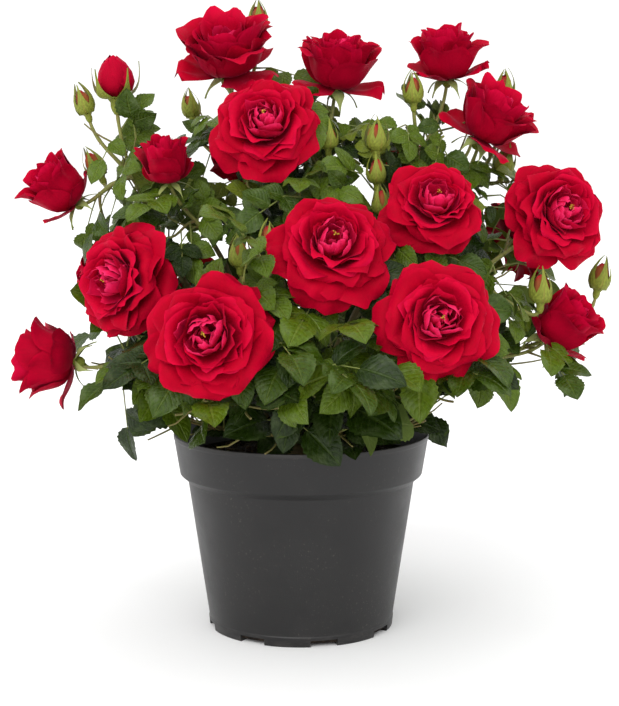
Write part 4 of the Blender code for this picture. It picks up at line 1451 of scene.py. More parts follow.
# ---- node graphs ----
class Graph:
    """A node tree that is filled node by node."""

    def __init__(self, tree: NodeTree) -> None:
        """A graph on a tree."""
        self.tree = tree

    def node(self, kind: str, *given: object, **settings: object) -> Node:
        """A new node.

        Args:
            kind: Its type, without the part that all shader nodes share.
            given: What its first inputs take.
            settings: Its settings by name.

        Returns:
            The node.
        """
        made = self.tree.nodes.new(f"ShaderNode{kind}")
        for name, value in settings.items():
            setattr(made, name, value)
        for socket, value in zip(made.inputs, given):
            self.feed(socket, value)
        return made

    def feed(self, socket: NodeSocket, value: object) -> None:
        """Links a socket to another, or sets its value.

        Args:
            socket: The socket.
            value: Another node's socket, a number, a vector, or a colour without its alpha.
        """
        if isinstance(value, NodeSocket):
            self.tree.links.new(value, socket)
        elif isinstance(value, tuple) and socket.type == "RGBA":
            socket.default_value = (*value, 1.0)
        else:
            socket.default_value = value

    def feed_all(self, sockets: dict[str, NodeSocket], **values: object) -> None:
        """Feeds sockets by name.

        Args:
            sockets: The sockets, or a node's inputs.
            values: What each takes, with _ for a space in its name.
        """
        for name, value in values.items():
            self.feed(sockets[name.replace("_", " ")], value)

    def math(self, operation: str, *values: object, clamp: bool = False) -> NodeSocket:
        """The result of a Math node."""
        return self.node("Math", *values, operation=operation, use_clamp=clamp).outputs[0]

    def times(self, first: object, second: object) -> NodeSocket:
        """The product of two values."""
        return self.math("MULTIPLY", first, second)

    def plus(self, first: object, second: object) -> NodeSocket:
        """The sum of two values."""
        return self.math("ADD", first, second)

    def minus(self, first: object, second: object) -> NodeSocket:
        """The first of two values without the second."""
        return self.math("SUBTRACT", first, second)

    def swing(self, value: object, reach: object) -> NodeSocket:
        """How far a noise value lies from its middle, times a reach."""
        return self.times(self.minus(value, 0.5), reach)

    def span(self, value: object, low: float, high: float, *to: object) -> NodeSocket:
        """A value moved smoothly from one range to another.

        Args:
            value: The value.
            low: The low end of its range.
            high: The high end of its range.
            to: The ends of the range that it is moved to, 0 and 1 unless given.

        Returns:
            The moved value.
        """
        return self.node("MapRange", value, low, high, *to, interpolation_type="SMOOTHSTEP").outputs[0]

    def mix(self, share: object, first: object, second: object) -> NodeSocket:
        """A mix of two colours.

        Args:
            share: How much of the second it has.
            first: The first colour.
            second: The second colour.

        Returns:
            The mixed colour.
        """
        made = self.node("Mix", share, data_type="RGBA", clamp_factor=True)
        colours = [socket for socket in made.inputs if socket.type == "RGBA"]
        for socket, value in zip(colours, (first, second)):
            self.feed(socket, value)
        return next(socket for socket in made.outputs if socket.type == "RGBA")

    def toned(self, colour: object, factor: object) -> NodeSocket:
        """A colour made darker or brighter by a factor.

        Args:
            colour: The colour before.
            factor: The factor.

        Returns:
            The colour.
        """
        made = self.node("VectorMath", colour, operation="SCALE")
        self.feed(made.inputs["Scale"], factor)
        return made.outputs[0]

    def noise(self, vector: object, scale: float, detail: float = 2.0, roughness: float = 0.5) -> NodeSocket:
        """A noise value, about 0.5 in the middle.

        Args:
            vector: Where it is taken.
            scale: How fine it is.
            detail: How many finer layers it has.
            roughness: How strong those are.

        Returns:
            The value.
        """
        made = self.node("TexNoise")
        self.feed_all(made.inputs, Vector=vector, Scale=scale, Detail=detail, Roughness=roughness)
        return made.outputs[0]

    def scaled(self, vector: object, scale: tuple[float, float, float]) -> NodeSocket:
        """A vector scaled along each axis.

        Args:
            vector: The vector.
            scale: The scale along each axis.

        Returns:
            The scaled vector.
        """
        made = self.node("Mapping")
        self.feed_all(made.inputs, Vector=vector, Scale=scale)
        return made.outputs[0]

    def joined(self, across: object, along: object) -> NodeSocket:
        """A vector with this X and this Y."""
        return self.node("CombineXYZ", across, along).outputs[0]

    def split(self, vector: object) -> list[NodeSocket]:
        """The X, Y and Z of a vector."""
        return list(self.node("SeparateXYZ", vector).outputs)

    def place(self, kind: str = "Object") -> NodeSocket:
        """The shaded point in the object's own coordinates, or in others of that node."""
        return self.node("TexCoord").outputs[kind]


COLOUR, FLOAT = "NodeSocketColor", "NodeSocketFloat"


def new_pattern(name: str, colours: str, values: str) -> tuple[Graph, dict, dict]:
    """A node group that gives a colour, a roughness and a height.

    Args:
        name: Its name.
        colours: The names of the colours that it takes.
        values: The names of the numbers that it takes.

    Returns:
        Its graph, its input sockets and its output sockets by name.
    """
    tree = bpy.data.node_groups.new(name, "ShaderNodeTree")
    inputs = dict.fromkeys(["Cells", *values.split()], FLOAT) | dict.fromkeys(colours.split(), COLOUR)
    outputs = {"Color": COLOUR, "Roughness": FLOAT, "Height": FLOAT}
    for in_out, sockets in (("INPUT", inputs), ("OUTPUT", outputs)):
        for label, kind in sockets.items():
            tree.interface.new_socket(label, in_out=in_out, socket_type=kind)
    source, sink = tree.nodes.new("NodeGroupInput").outputs, tree.nodes.new("NodeGroupOutput").inputs
    return Graph(tree), {label: source[label] for label in inputs}, {label: sink[label] for label in outputs}


def blade_place(graph: Graph, cells: object) -> tuple[NodeSocket, NodeSocket]:
    """The place across and along a blade, each from 0 to 1, from its cell of the map.

    Args:
        graph: The material's or pattern's graph.
        cells: How many cells the map has along each side.

    Returns:
        The place across and the place along.
    """
    across, along, _ = graph.split(graph.node("UVMap", uv_map=BAKE_MAP).outputs[0])
    return graph.math("FRACT", graph.times(across, cells)), graph.math("FRACT", graph.times(along, cells))


def leaf_pattern() -> NodeTree:
    """The veins of a leaflet: a midrib, curved side veins, and the blade raised between them, with pale
    patches of painted sheen and a paler margin that is partly painted highlight.

    Returns:
        The node group.
    """
    graph, given, out = new_pattern("leaf veins", "Blade Vein", "Strength Mottle Dull Bright Wax")
    across, along = blade_place(graph, given["Cells"])
    off = graph.math("ABSOLUTE", graph.minus(graph.times(across, 2.0), 1.0))
    sweep_up = graph.times(graph.math("POWER", off, 1.3), 0.32)
    rank = graph.times(graph.minus(along, sweep_up), 8.0)
    nearest = graph.math("ABSOLUTE", graph.minus(graph.math("FRACT", rank), 0.5))
    side_vein = graph.times(graph.span(nearest, 0.36, 0.50), graph.span(off, 0.55, 1.0, 0.55, 0.1))
    midrib = graph.span(off, 0.03, 0.11, 1.0, 0.0)
    # the paler margin is partly painted highlight along the edge, partly the leaf's own pale rim
    margin = graph.span(off, 0.90, 0.99)
    veins = graph.math("MAXIMUM", midrib, side_vein)
    place = graph.joined(across, along)
    mottle = graph.noise(place, 9.0, 4.0, 0.6)
    fine = graph.noise(place, 46.0, 2.0, 0.5)
    mottled = graph.times(graph.swing(mottle, given["Mottle"]), 2.0)
    toned = graph.toned(given["Blade"], graph.plus(mottled, 1.0))
    # painted sheen: pale grey-green patches that stand in for the gloss's reflection
    sheen_patches = graph.span(graph.noise(place, 2.6, 2.0, 0.5), 0.46, 0.66)
    with_painted_sheen = graph.mix(graph.times(sheen_patches, given["Wax"]), toned, LEAF_PAINTED_SHEEN)
    veined = graph.mix(graph.times(veins, given["Strength"]), with_painted_sheen, given["Vein"])
    quilt = graph.times(graph.math("POWER", nearest, 2.0), 1.6)
    raised = graph.minus(graph.plus(graph.times(fine, 0.30), mottle), midrib)
    graph.feed_all(out, Color=graph.mix(graph.times(margin, 0.40), veined, given["Vein"]),
                   Roughness=graph.span(mottle, 0.3, 0.7, given["Bright"], given["Dull"]),
                   Height=graph.minus(raised, quilt))
    return graph.tree


def petal_pattern() -> NodeTree:
    """A petal's shading: deep at its base, partly as painted shade, and bright towards the rim, partly as
    painted highlight, with fine fanned veins.

    Returns:
        The node group.
    """
    graph, given, out = new_pattern("petal shading", "Base Blade Rim", "Veins")
    across, along = blade_place(graph, given["Cells"])
    fan = graph.math("DIVIDE", graph.minus(across, 0.5), graph.plus(along, 0.55))
    fibres = graph.noise(graph.joined(graph.times(fan, 26.0), graph.times(along, 1.6)), 1.0, 3.0, 0.6)
    cloud = graph.noise(graph.joined(graph.times(across, 3.0), graph.times(along, 3.0)), 1.0, 3.0, 0.55)
    # painted shade and highlight: on open blooms the darker base stands in for shade deep in the flower and
    # the paler rim for light on its edge; a bud's green base is its own colour
    low = graph.mix(graph.span(along, 0.05, 0.62), given["Base"], given["Blade"])
    edge = graph.plus(along, graph.swing(cloud, 0.25))
    full = graph.mix(graph.span(edge, 0.74, 1.02), low, given["Rim"])
    lift = graph.plus(graph.swing(fibres, given["Veins"]), graph.span(cloud, 0.25, 0.75, 0.90, 1.06))
    graph.feed_all(out, Color=graph.toned(full, lift), Roughness=graph.span(fibres, 0.3, 0.7, 0.50, 0.66),
                   Height=graph.plus(fibres, graph.times(cloud, 1.5)))
    return graph.tree


def wood_pattern() -> NodeTree:
    """The skin of stalks and canes: long streaks, blotches of the second colour, and small pores.

    Returns:
        The node group.
    """
    graph, given, out = new_pattern("stalk skin", "Skin Blotch Pore", "Round Along Blotches Grain")
    across, along = blade_place(graph, given["Cells"])
    place = graph.joined(graph.times(across, given["Round"]), graph.times(along, given["Along"]))
    streaks = graph.noise(graph.scaled(place, (4.0, 0.8, 1.0)), 1.0, 4.0, 0.62)
    cloud = graph.noise(graph.scaled(place, (0.5, 0.35, 1.0)), 1.0, 3.0, 0.55)
    pore = graph.span(graph.noise(place, 5.0, 1.0, 0.4), 0.64, 0.74)
    blotched = graph.mix(graph.times(graph.span(cloud, 0.44, 0.62), given["Blotches"]), given["Skin"],
                         given["Blotch"])
    toned = graph.toned(blotched, graph.plus(graph.swing(streaks, given["Grain"]), 1.0))
    graph.feed_all(out, Color=graph.mix(graph.times(pore, 0.6), toned, given["Pore"]),
                   Roughness=graph.span(streaks, 0.3, 0.7, 0.42, 0.66),
                   Height=graph.plus(streaks, graph.times(pore, 0.4)))
    return graph.tree


def new_material(name: str, specular: float) -> tuple[Material, Graph, Node]:
    """A material with its graph and its shader.

    Args:
        name: Its name.
        specular: How strongly it reflects.

    Returns:
        The three.
    """
    material = bpy.data.materials.new(name)
    material.use_nodes = True
    shader = material.node_tree.nodes["Principled BSDF"]
    shader.inputs["Specular IOR Level"].default_value = specular
    return material, Graph(material.node_tree), shader


def coat(graph: Graph, shader: Node, colour: NodeSocket, roughness: NodeSocket, height: NodeSocket,
         relief: Pair) -> None:
    """Gives a shader its colour, roughness and relief.

    Args:
        graph: The material's graph.
        shader: The shader.
        colour: The colour.
        roughness: The roughness.
        height: The relief's height.
        relief: How strong the relief is, and how high, in metres.
    """
    bump = graph.node("Bump")
    graph.feed_all(bump.inputs, Height=height, Strength=relief[0], Distance=relief[1])
    graph.feed_all(shader.inputs, Base_Color=colour, Roughness=roughness, Normal=bump.outputs[0])


def patterned(name: str, specular: float, pattern: NodeTree, relief: Pair, **given: object) -> Material:
    """A material that takes its colour, roughness and relief from a pattern.

    Args:
        name: Its name.
        specular: How strongly it reflects.
        pattern: The pattern.
        relief: How strong the relief is, and how high, in metres.
        given: What the pattern takes, by name.

    Returns:
        The material.
    """
    material, graph, shader = new_material(name, specular)
    made = graph.node("Group", node_tree=pattern)
    graph.feed_all(made.inputs, **given)
    coat(graph, shader, *made.outputs, relief)
    return material


@dataclass(frozen=True)
class LeafFinish:
    """One side of a leaf in one tone.

    Attributes:
        name: The material's name.
        blade: The colour between the veins.
        vein: The veins' colour.
        strength: How much the veins show.
        mottle: How much the blade's shade varies.
        bright: The roughness where it shines.
        dull: The roughness where it doesn't.
        specular: How strongly it reflects.
        relief: How strong its relief is.
        wax: How much pale painted sheen lies on it, in patches.
    """

    name: str
    blade: Colour
    vein: Colour
    strength: float
    mottle: float
    bright: float
    dull: float
    specular: float
    relief: float
    wax: float = 0.0

    def build(self, pattern: NodeTree, cells: float) -> Material:
        """Makes the leaf's material.

        Args:
            pattern: The leaf veins.
            cells: How many cells its map has along each side.

        Returns:
            The material.
        """
        return patterned(self.name, self.specular, pattern, (self.relief, LEAF_RELIEF), Cells=cells,
                         Blade=self.blade, Vein=self.vein, Strength=self.strength, Mottle=self.mottle,
                         Bright=self.bright, Dull=self.dull, Wax=self.wax)


@dataclass(frozen=True)
class PetalFinish:
    """One side of a petal in one tone.

    Attributes:
        name: The material's name.
        base: The colour where the petal springs, darker on open blooms partly as painted shade.
        blade: The colour in its middle.
        rim: The colour at its rim, paler on open blooms partly as painted highlight.
        veins: How much the fine veins show.
        specular: How strongly it reflects.
        relief: How strong its relief is, and how high, in metres.
        sheen: How strong its velvet is, and how rough.
        sheen_tint: The velvet's colour.
    """

    name: str
    base: Colour
    blade: Colour
    rim: Colour
    veins: float
    specular: float = 0.03
    relief: Pair = (0.35, 0.0004)
    sheen: Pair = (0.20, 0.40)
    sheen_tint: Colour = (1.0, 0.06, 0.20)

    def build(self, pattern: NodeTree, cells: float) -> Material:
        """The material.

        Args:
            pattern: The petal's shading.
            cells: How many cells the map has along each side.

        Returns:
            The material.
        """
        material = patterned(self.name, self.specular, pattern, self.relief, Cells=cells, Base=self.base,
                             Blade=self.blade, Rim=self.rim, Veins=self.veins)
        shader = material.node_tree.nodes["Principled BSDF"]
        shader.inputs["Sheen Weight"].default_value = self.sheen[0]
        shader.inputs["Sheen Roughness"].default_value = self.sheen[1]
        shader.inputs["Sheen Tint"].default_value = (*self.sheen_tint, 1.0)
        return material


@dataclass(frozen=True)
class WoodFinish:
    """The skin of a stalk, twig or cane.

    Attributes:
        name: The material's name.
        skin: Its main colour.
        blotch: The colour of its blotches.
        pore: The colour of its pores.
        blotches: How much the blotches show.
        grain: How much its shade varies along the streaks.
        relief: How strong its relief is.
        specular: How strongly it reflects.
    """

    name: str
    skin: Colour
    blotch: Colour
    pore: Colour
    blotches: float
    grain: float
    relief: float
    specular: float = 0.35

    def build(self, pattern: NodeTree, cells: float, repeats: Pair) -> Material:
        """The material.

        Args:
            pattern: The skin's pattern.
            cells: How many cells the map has along each side.
            repeats: How often the pattern repeats round half of a strand and along it.

        Returns:
            The material.
        """
        return patterned(self.name, self.specular, pattern, (self.relief, SKIN_RELIEF), Cells=cells,
                         Round=repeats[0], Along=repeats[1], Skin=self.skin, Blotch=self.blotch,
                         Pore=self.pore, Blotches=self.blotches, Grain=self.grain)


LEAF_RELIEF, SKIN_RELIEF = 0.0005, 0.0004  # how high the relief is
# the pale grey-green of the painted sheen on the leaves' faces
LEAF_PAINTED_SHEEN = (0.150, 0.200, 0.080)
LEAF_FACE = (0.55, 0.80, 0.22, 0.40, 0.20, 0.9)  # strength, mottle, bright, dull, specular and relief
LEAF_BACK = (0.50, 0.20, 0.60, 0.72, 0.06, 0.4)
FRESH_FACE = (0.55, 0.70, 0.24, 0.42, 0.20, 0.9)
YOUNG_FACE = (0.45, 0.50, 0.30, 0.48, 0.16, 0.7)
# the deep and middle faces are darker partly as painted shade for leaves inside the bush
LEAF_FINISHES = [
    LeafFinish("leaf_deep_face", (0.0095, 0.0220, 0.0010), (0.0400, 0.0680, 0.0100), *LEAF_FACE, 0.16),
    LeafFinish("leaf_deep_back", (0.0400, 0.0640, 0.0130), (0.0720, 0.1020, 0.0300), *LEAF_BACK),
    LeafFinish("leaf_middle_face", (0.0300, 0.0580, 0.0020), (0.0850, 0.1250, 0.0180), *LEAF_FACE, 0.26),
    LeafFinish("leaf_middle_back", (0.0740, 0.1080, 0.0210), (0.1200, 0.1620, 0.0460), *LEAF_BACK),
    LeafFinish("leaf_fresh_face", (0.0680, 0.1120, 0.0040), (0.1450, 0.1950, 0.0300), *FRESH_FACE, 0.28),
    LeafFinish("leaf_fresh_back", (0.1250, 0.1700, 0.0320), (0.1850, 0.2300, 0.0660), *LEAF_BACK),
    LeafFinish("leaf_young_face", (0.1250, 0.1600, 0.0120), (0.2100, 0.2400, 0.0460), *YOUNG_FACE, 0.16),
    LeafFinish("leaf_young_back", (0.1900, 0.2200, 0.0420), (0.2500, 0.2800, 0.0800), *LEAF_BACK),
]
# each side's base, blade and rim, and how much its veins show
PETAL_COLOURS = {
    "outer_face": ((0.310, 0.00032, 0.0105), (0.395, 0.00040, 0.0150), (0.455, 0.00058, 0.0200), 0.28),
    "outer_back": ((0.255, 0.00050, 0.0110), (0.360, 0.00066, 0.0175), (0.430, 0.00084, 0.0210), 0.32),
    "cup_face": ((0.370, 0.00056, 0.0155), (0.450, 0.00085, 0.0215), (0.530, 0.00132, 0.0290), 0.28),
    "cup_back": ((0.360, 0.00100, 0.0190), (0.450, 0.00140, 0.0270), (0.540, 0.00220, 0.0370), 0.30),
    "heart_face": ((0.500, 0.00250, 0.0340), (0.640, 0.00600, 0.0600), (0.770, 0.01500, 0.0980), 0.28),
    "heart_back": ((0.500, 0.00300, 0.0380), (0.670, 0.00800, 0.0700), (0.800, 0.02800, 0.1300), 0.36),
    "bud_face": ((0.180, 0.20000, 0.0400), (0.330, 0.06000, 0.0300), (0.400, 0.01200, 0.0250), 0.30),
    "bud_back": ((0.180, 0.20000, 0.0400), (0.300, 0.09000, 0.0320), (0.380, 0.01500, 0.0260), 0.30),
}
PETAL_FINISHES = [PetalFinish(f"petal_{side}", *colours) for side, colours in PETAL_COLOURS.items()]
SEPAL_FINISHES = [
    LeafFinish("sepal_face", (0.300, 0.350, 0.110), (0.380, 0.420, 0.190), 0.50, 0.20, 0.50, 0.64, 0.12, 0.3),
    LeafFinish("sepal_back", (0.200, 0.235, 0.032), (0.260, 0.170, 0.045), 0.40, 0.80, 0.46, 0.60, 0.16, 0.3),
]
STAMEN_FINISHES = [
    LeafFinish("stamen_thread", (0.528, 0.1584, 0.0968), (0.616, 0.3168, 0.1408), 0.30, 0.20, 0.50, 0.64,
               0.10, 0.2),
    LeafFinish("stamen_head", (0.4576, 0.264, 0.0264), (0.5632, 0.3872, 0.0704), 0.40, 0.50, 0.60, 0.74,
               0.10, 0.3),
]
BARK_FINISH = WoodFinish("rose_bark", (0.1500, 0.1080, 0.0400), (0.1000, 0.1050, 0.0280),
                         (0.2500, 0.1950, 0.1000), 0.75, 0.75, 0.6)
WOOD_FINISHES = [
    WoodFinish("twig_skin", (0.1600, 0.1500, 0.0400), (0.1800, 0.1000, 0.0420), (0.2400, 0.2100, 0.0900),
               0.75, 0.45, 0.4),
    WoodFinish("flower_stalk_skin", (0.2100, 0.2200, 0.0520), (0.2300, 0.1450, 0.0500),
               (0.2800, 0.2600, 0.0950), 0.60, 0.35, 0.3),
    WoodFinish("leaf_stalk_skin", (0.1800, 0.2200, 0.0520), (0.2100, 0.1200, 0.0520),
               (0.2600, 0.2700, 0.1100), 0.45, 0.30, 0.3),
    WoodFinish("prickle_skin", (0.1848, 0.0792, 0.0440), (0.1056, 0.0528, 0.0264), (0.2640, 0.1584, 0.0880),
               0.60, 0.30, 0.2),
]


# ---- foliage ----
@dataclass
class Foliage:
    """The leaf sprays, each leaflet a thin serrated blade folded on its midrib and arched.

    Attributes:
        thickness: Half a leaflet's thickness in the middle.
        tooth: How far the margin's teeth stand out, as a share of the half width.
        hook: How far the teeth lean towards the tip, as a share of the length.
        outline: The exponents that set where a leaflet is widest and how full it is there.
        taper: How wide it is against its set width, and how much it draws in just under the tip.
        width: The range of its width.
        fold: The range of the fold on the midrib, as a rise for each step aside.
        flat: The fold at the midrib, and how much less of it there is at the margin.
        droop: The range of the arch along the leaflet, in radians.
        wave: The range of the waves along its margin, as a share of the length.
        quilt: How far the blade rises between its side veins.
        back: How far back the sprays that count as the back ones lie.
    """

    thickness: float = 0.00018
    tooth: float = 0.050
    hook: float = 0.010
    outline: Pair = (0.80, 0.72)
    taper: Pair = (1.04, 0.34)
    width: Pair = (0.90, 1.08)
    fold: Pair = (0.14, 0.50)
    flat: Pair = (1.15, 0.45)
    droop: Pair = (0.10, 0.80)
    wave: Pair = (0.010, 0.045)
    quilt: float = 0.008
    back: float = 0.012

    def __post_init__(self) -> None:
        """Makes the leaflet's form."""
        self.form = Form.blade(across=4, beneath=2, along=16, pointed=True)
        self.across, along, self.side = self.form.points.T
        swell = np.clip(np.sin(math.pi * along ** self.outline[0]), 0, 1) ** self.outline[1]
        swell *= self.taper[0] - self.taper[1] * along**5
        self.half = LEAFLET_WIDTH / 2 * swell * (1 + self.tooth * self.form.teeth)
        self.along = along - self.hook * self.form.teeth * (along < AT_MARGIN)

    def leaflet(self, dice: random.Random, base: Vector, way: Vector, normal: Vector,
                length: float) -> np.ndarray:
        """The points of one leaflet.

        Args:
            dice: The source of chance.
            base: Where it springs.
            way: Its way.
            normal: The way its face looks.
            length: Its length.

        Returns:
            The form's points in place.
        """
        aside = normal.cross(way).normalized()
        face = way.cross(aside)
        fold, droop = dice.uniform(*self.fold), dice.uniform(*self.droop)
        wave, phase = dice.uniform(*self.wave), any_turn(dice)
        offset = self.across * self.half * dice.uniform(*self.width)
        edge = np.abs(self.across)
        lift = fold * np.abs(offset) * (self.flat[0] - self.flat[1] * edge)
        lift += wave * edge * np.sin(self.along * 9.0 + phase + self.across)
        quilt = self.quilt * (edge > 0.3) * (edge < 0.8) * np.cos(self.along * 10 * math.pi)
        lift += quilt + self.side * self.thickness / length
        turn = droop * self.along
        forward = np.sin(turn) / droop + lift * np.sin(turn)
        rise = (np.cos(turn) - 1) / droop + lift * np.cos(turn)
        places = (np.outer(forward, way) - np.outer(offset, aside) + np.outer(rise, face)) * length
        return places + np.array(base)

    def spray_name(self, mass: Mass) -> str:
        """The piece that a mass's leaves go into: its quarter of the bush.

        Args:
            mass: The mass.

        Returns:
            The piece's name.
        """
        ends = mass.sprigs + [flower.at for flower in mass.flowers]
        aside, depth = (sum(end[axis] for end in ends) / len(ends) for axis in (0, 1))
        return f"leaves_{'back' if depth > self.back else 'front'}_{'left' if aside < 0 else 'right'}"

    def build(self, growth: Growth, pattern: NodeTree) -> None:
        """Joins the leaves into sprays by quarter of the bush.

        Args:
            growth: The grown bush.
            pattern: The leaf veins.
        """
        materials = [finish.build(pattern, cells_along(len(LEAF_FINISHES))) for finish in LEAF_FINISHES]
        sprays: dict[str, Joined] = {}
        homes: dict[str, list[str]] = {}
        total = 0
        for mass in MASSES:
            name = self.spray_name(mass)
            spray = sprays.setdefault(name, Joined(len(materials)))
            homes.setdefault(name, []).append(f"mass_{mass.name}")
            for index, leaf in enumerate(growth.leaves[mass.name]):
                dice = random.Random(f"{SEED} blades {mass.name} {index}")
                for share, way, length in leaf.leaflets:
                    points = self.leaflet(dice, leaf.point(share), way, leaf.normal, length)
                    spray.add(self.form, points, leaf.tone)
                    total += 1
        log.info("%d leaves with %d leaflets", sum(map(len, growth.leaves.values())), total)
        for name, spray in sprays.items():
            enrol(spray.build(name, materials, 70), homes[name])


# ---- blooms and buds ----
Curve4 = tuple[Pair, Pair, Pair, Pair]


@dataclass(frozen=True)
class Ring:
    """A ring of like petals, in shares of the flower's spread.

    Attributes:
        count: How many petals.
        curve: Radius and height of the midline's ends and handles.
        width: Half a petal's width.
        cup: How hard it is cupped at its base and at its rim.
        roll: How far its rim and its flanks roll back.
        ruffle: How wavy its rim is.
        tone: Its colour.
        wild: How much its petals differ.
        shut: The same midline in a bloom that has just opened, if it differs.
    """

    count: int
    curve: Curve4
    width: float
    cup: Pair
    roll: Pair
    ruffle: float
    tone: PetalTone
    wild: float = 1.0
    shut: Curve4 | None = None


FULL_RINGS = [
    Ring(5, ((0.03, 0.02), (0.20, -0.05), (0.39, 0.12), (0.555, 0.03)), 0.275, (0.8, -0.9), (0.07, 0.04),
         0.050, PetalTone.OUTER, 1.7),
    Ring(5, ((0.03, 0.03), (0.20, 0.01), (0.34, 0.20), (0.480, 0.14)), 0.300, (1.0, -0.4), (0.08, 0.05),
         0.048, PetalTone.OUTER, 1.8),
    Ring(4, ((0.03, 0.04), (0.22, 0.03), (0.31, 0.25), (0.400, 0.225)), 0.300, (1.4, 0.2), (0.09, 0.06),
         0.040, PetalTone.OUTER, 1.6),
    Ring(4, ((0.03, 0.05), (0.22, 0.05), (0.27, 0.28), (0.325, 0.28)), 0.260, (1.6, 0.6), (0.08, 0.05),
         0.034, PetalTone.CUP, 1.5),
    Ring(4, ((0.02, 0.06), (0.20, 0.07), (0.24, 0.30), (0.260, 0.315)), 0.220, (1.8, 1.0), (0.06, 0.04),
         0.028, PetalTone.CUP, 1.5),
    Ring(5, ((0.02, 0.06), (0.18, 0.08), (0.22, 0.31), (0.200, 0.340)), 0.165, (2.0, 1.8), (0.03, 0.03),
         0.022, PetalTone.CUP, 1.5),
    Ring(6, ((0.02, 0.07), (0.16, 0.10), (0.20, 0.31), (0.140, 0.350)), 0.110, (2.4, 2.6), (0.01, 0.01),
         0.018, PetalTone.HEART, 1.9),
    Ring(6, ((0.02, 0.08), (0.13, 0.12), (0.17, 0.31), (0.095, 0.362)), 0.085, (2.6, 3.4), (0.0, 0.0),
         0.016, PetalTone.HEART, 2.2),
    Ring(5, ((0.01, 0.09), (0.10, 0.14), (0.13, 0.31), (0.052, 0.362)), 0.065, (3.0, 4.0), (0.0, 0.0),
         0.014, PetalTone.HEART, 2.2),
    Ring(4, ((0.01, 0.10), (0.06, 0.16), (0.08, 0.29), (0.022, 0.345)), 0.045, (3.5, 5.0), (0.0, 0.0),
         0.010, PetalTone.HEART, 2.0),
]
GOBLET_RINGS = [
    Ring(3, ((0.04, 0.01), (0.30, -0.04), (0.50, 0.09), (0.62, 0.10)), 0.31, (0.8, -0.4), (0.08, 0.05),
         0.050, PetalTone.OUTER, 1.3, ((0.05, 0.01), (0.42, -0.03), (0.54, 0.18), (0.58, 0.38))),
    Ring(4, ((0.04, 0.02), (0.38, -0.03), (0.38, 0.34), (0.48, 0.54)), 0.39, (0.6, -0.2), (0.14, 0.05),
         0.052, PetalTone.OUTER, 1.2, ((0.05, 0.02), (0.52, -0.01), (0.42, 0.44), (0.50, 0.76))),
    Ring(4, ((0.04, 0.03), (0.34, 0.01), (0.34, 0.42), (0.41, 0.62)), 0.35, (0.8, 0.2), (0.11, 0.05),
         0.046, PetalTone.OUTER, 1.2, ((0.04, 0.03), (0.46, 0.04), (0.38, 0.54), (0.42, 0.86))),
    Ring(4, ((0.03, 0.04), (0.29, 0.04), (0.30, 0.46), (0.33, 0.68)), 0.30, (1.0, 0.6), (0.08, 0.05),
         0.038, PetalTone.CUP, 1.3, ((0.04, 0.04), (0.40, 0.08), (0.34, 0.60), (0.32, 0.91))),
    Ring(4, ((0.03, 0.05), (0.24, 0.07), (0.25, 0.50), (0.24, 0.70)), 0.24, (1.4, 1.4), (0.05, 0.04),
         0.030, PetalTone.CUP, 1.3, ((0.03, 0.06), (0.32, 0.12), (0.27, 0.66), (0.22, 0.92))),
    Ring(4, ((0.02, 0.06), (0.18, 0.10), (0.19, 0.54), (0.15, 0.69)), 0.17, (2.0, 2.6), (0.02, 0.02),
         0.024, PetalTone.CUP, 1.5, ((0.03, 0.08), (0.24, 0.16), (0.20, 0.70), (0.13, 0.90))),
    Ring(4, ((0.01, 0.08), (0.12, 0.14), (0.13, 0.54), (0.06, 0.65)), 0.12, (2.5, 4.0), (0.0, 0.0),
         0.014, PetalTone.HEART, 1.5, ((0.02, 0.12), (0.16, 0.20), (0.14, 0.72), (0.04, 0.86))),
]
BUD_RINGS = [
    Ring(3, ((0.14, -0.50), (0.54, -0.46), (0.58, 0.30), (0.05, 0.74)), 0.56, (0.8, 1.6), (0.0, 0.0), 0.008,
         PetalTone.BUD, 0.6),
    Ring(3, ((0.12, -0.48), (0.46, -0.44), (0.48, 0.34), (0.03, 0.70)), 0.50, (0.8, 1.6), (0.0, 0.0), 0.008,
         PetalTone.BUD, 0.6),
]
RED_BUD_RINGS = [
    Ring(3, ((0.14, -0.50), (0.76, -0.50), (0.78, 0.30), (0.06, 0.74)), 0.70, (0.6, 1.4), (0.0, 0.0), 0.014,
         PetalTone.OUTER, 0.8),
    Ring(3, ((0.12, -0.48), (0.60, -0.46), (0.64, 0.36), (0.03, 0.72)), 0.60, (0.6, 1.4), (0.0, 0.0), 0.014,
         PetalTone.OUTER, 0.8),
]
BLOOM_SEPALS = Ring(5, ((0.045, -0.02), (0.16, -0.04), (0.25, -0.09), (0.31, -0.24)), 0.075, (0.6, 0.6),
                    (0.0, 0.0), 0.010, PetalTone.OUTER, 1.6,
                    ((0.07, -0.01), (0.28, -0.06), (0.40, -0.12), (0.52, -0.30)))
BUD_SEPALS = Ring(5, ((0.14, -0.56), (0.68, -0.56), (0.68, 0.34), (0.05, 1.02)), 0.49, (0.5, 0.5),
                  (0.0, 0.0), 0.012, PetalTone.OUTER, 0.9)
RED_BUD_SEPALS = Ring(5, ((0.14, -0.56), (0.66, -0.60), (0.80, -0.20), (0.80, 0.42)), 0.24, (0.5, 0.2),
                      (0.0, 0.0), 0.014, PetalTone.OUTER, 1.2)
RED_BUD_SPREAD = 0.018


def rings_of(flower: Flower) -> tuple[list[Ring], Ring]:
    """The rings that a flower is built of.

    Args:
        flower: The flower.

    Returns:
        Its rings of petals, and its ring of sepals.
    """
    if flower.opening:
        return FULL_RINGS if flower.is_full else GOBLET_RINGS, BLOOM_SEPALS
    if flower.spread > RED_BUD_SPREAD:
        return RED_BUD_RINGS, RED_BUD_SEPALS
    return BUD_RINGS, BUD_SEPALS


class Kind(Enum):
    """What a blade of a flower is bent into."""

    PETAL = "petal"
    SEPAL = "sepal"


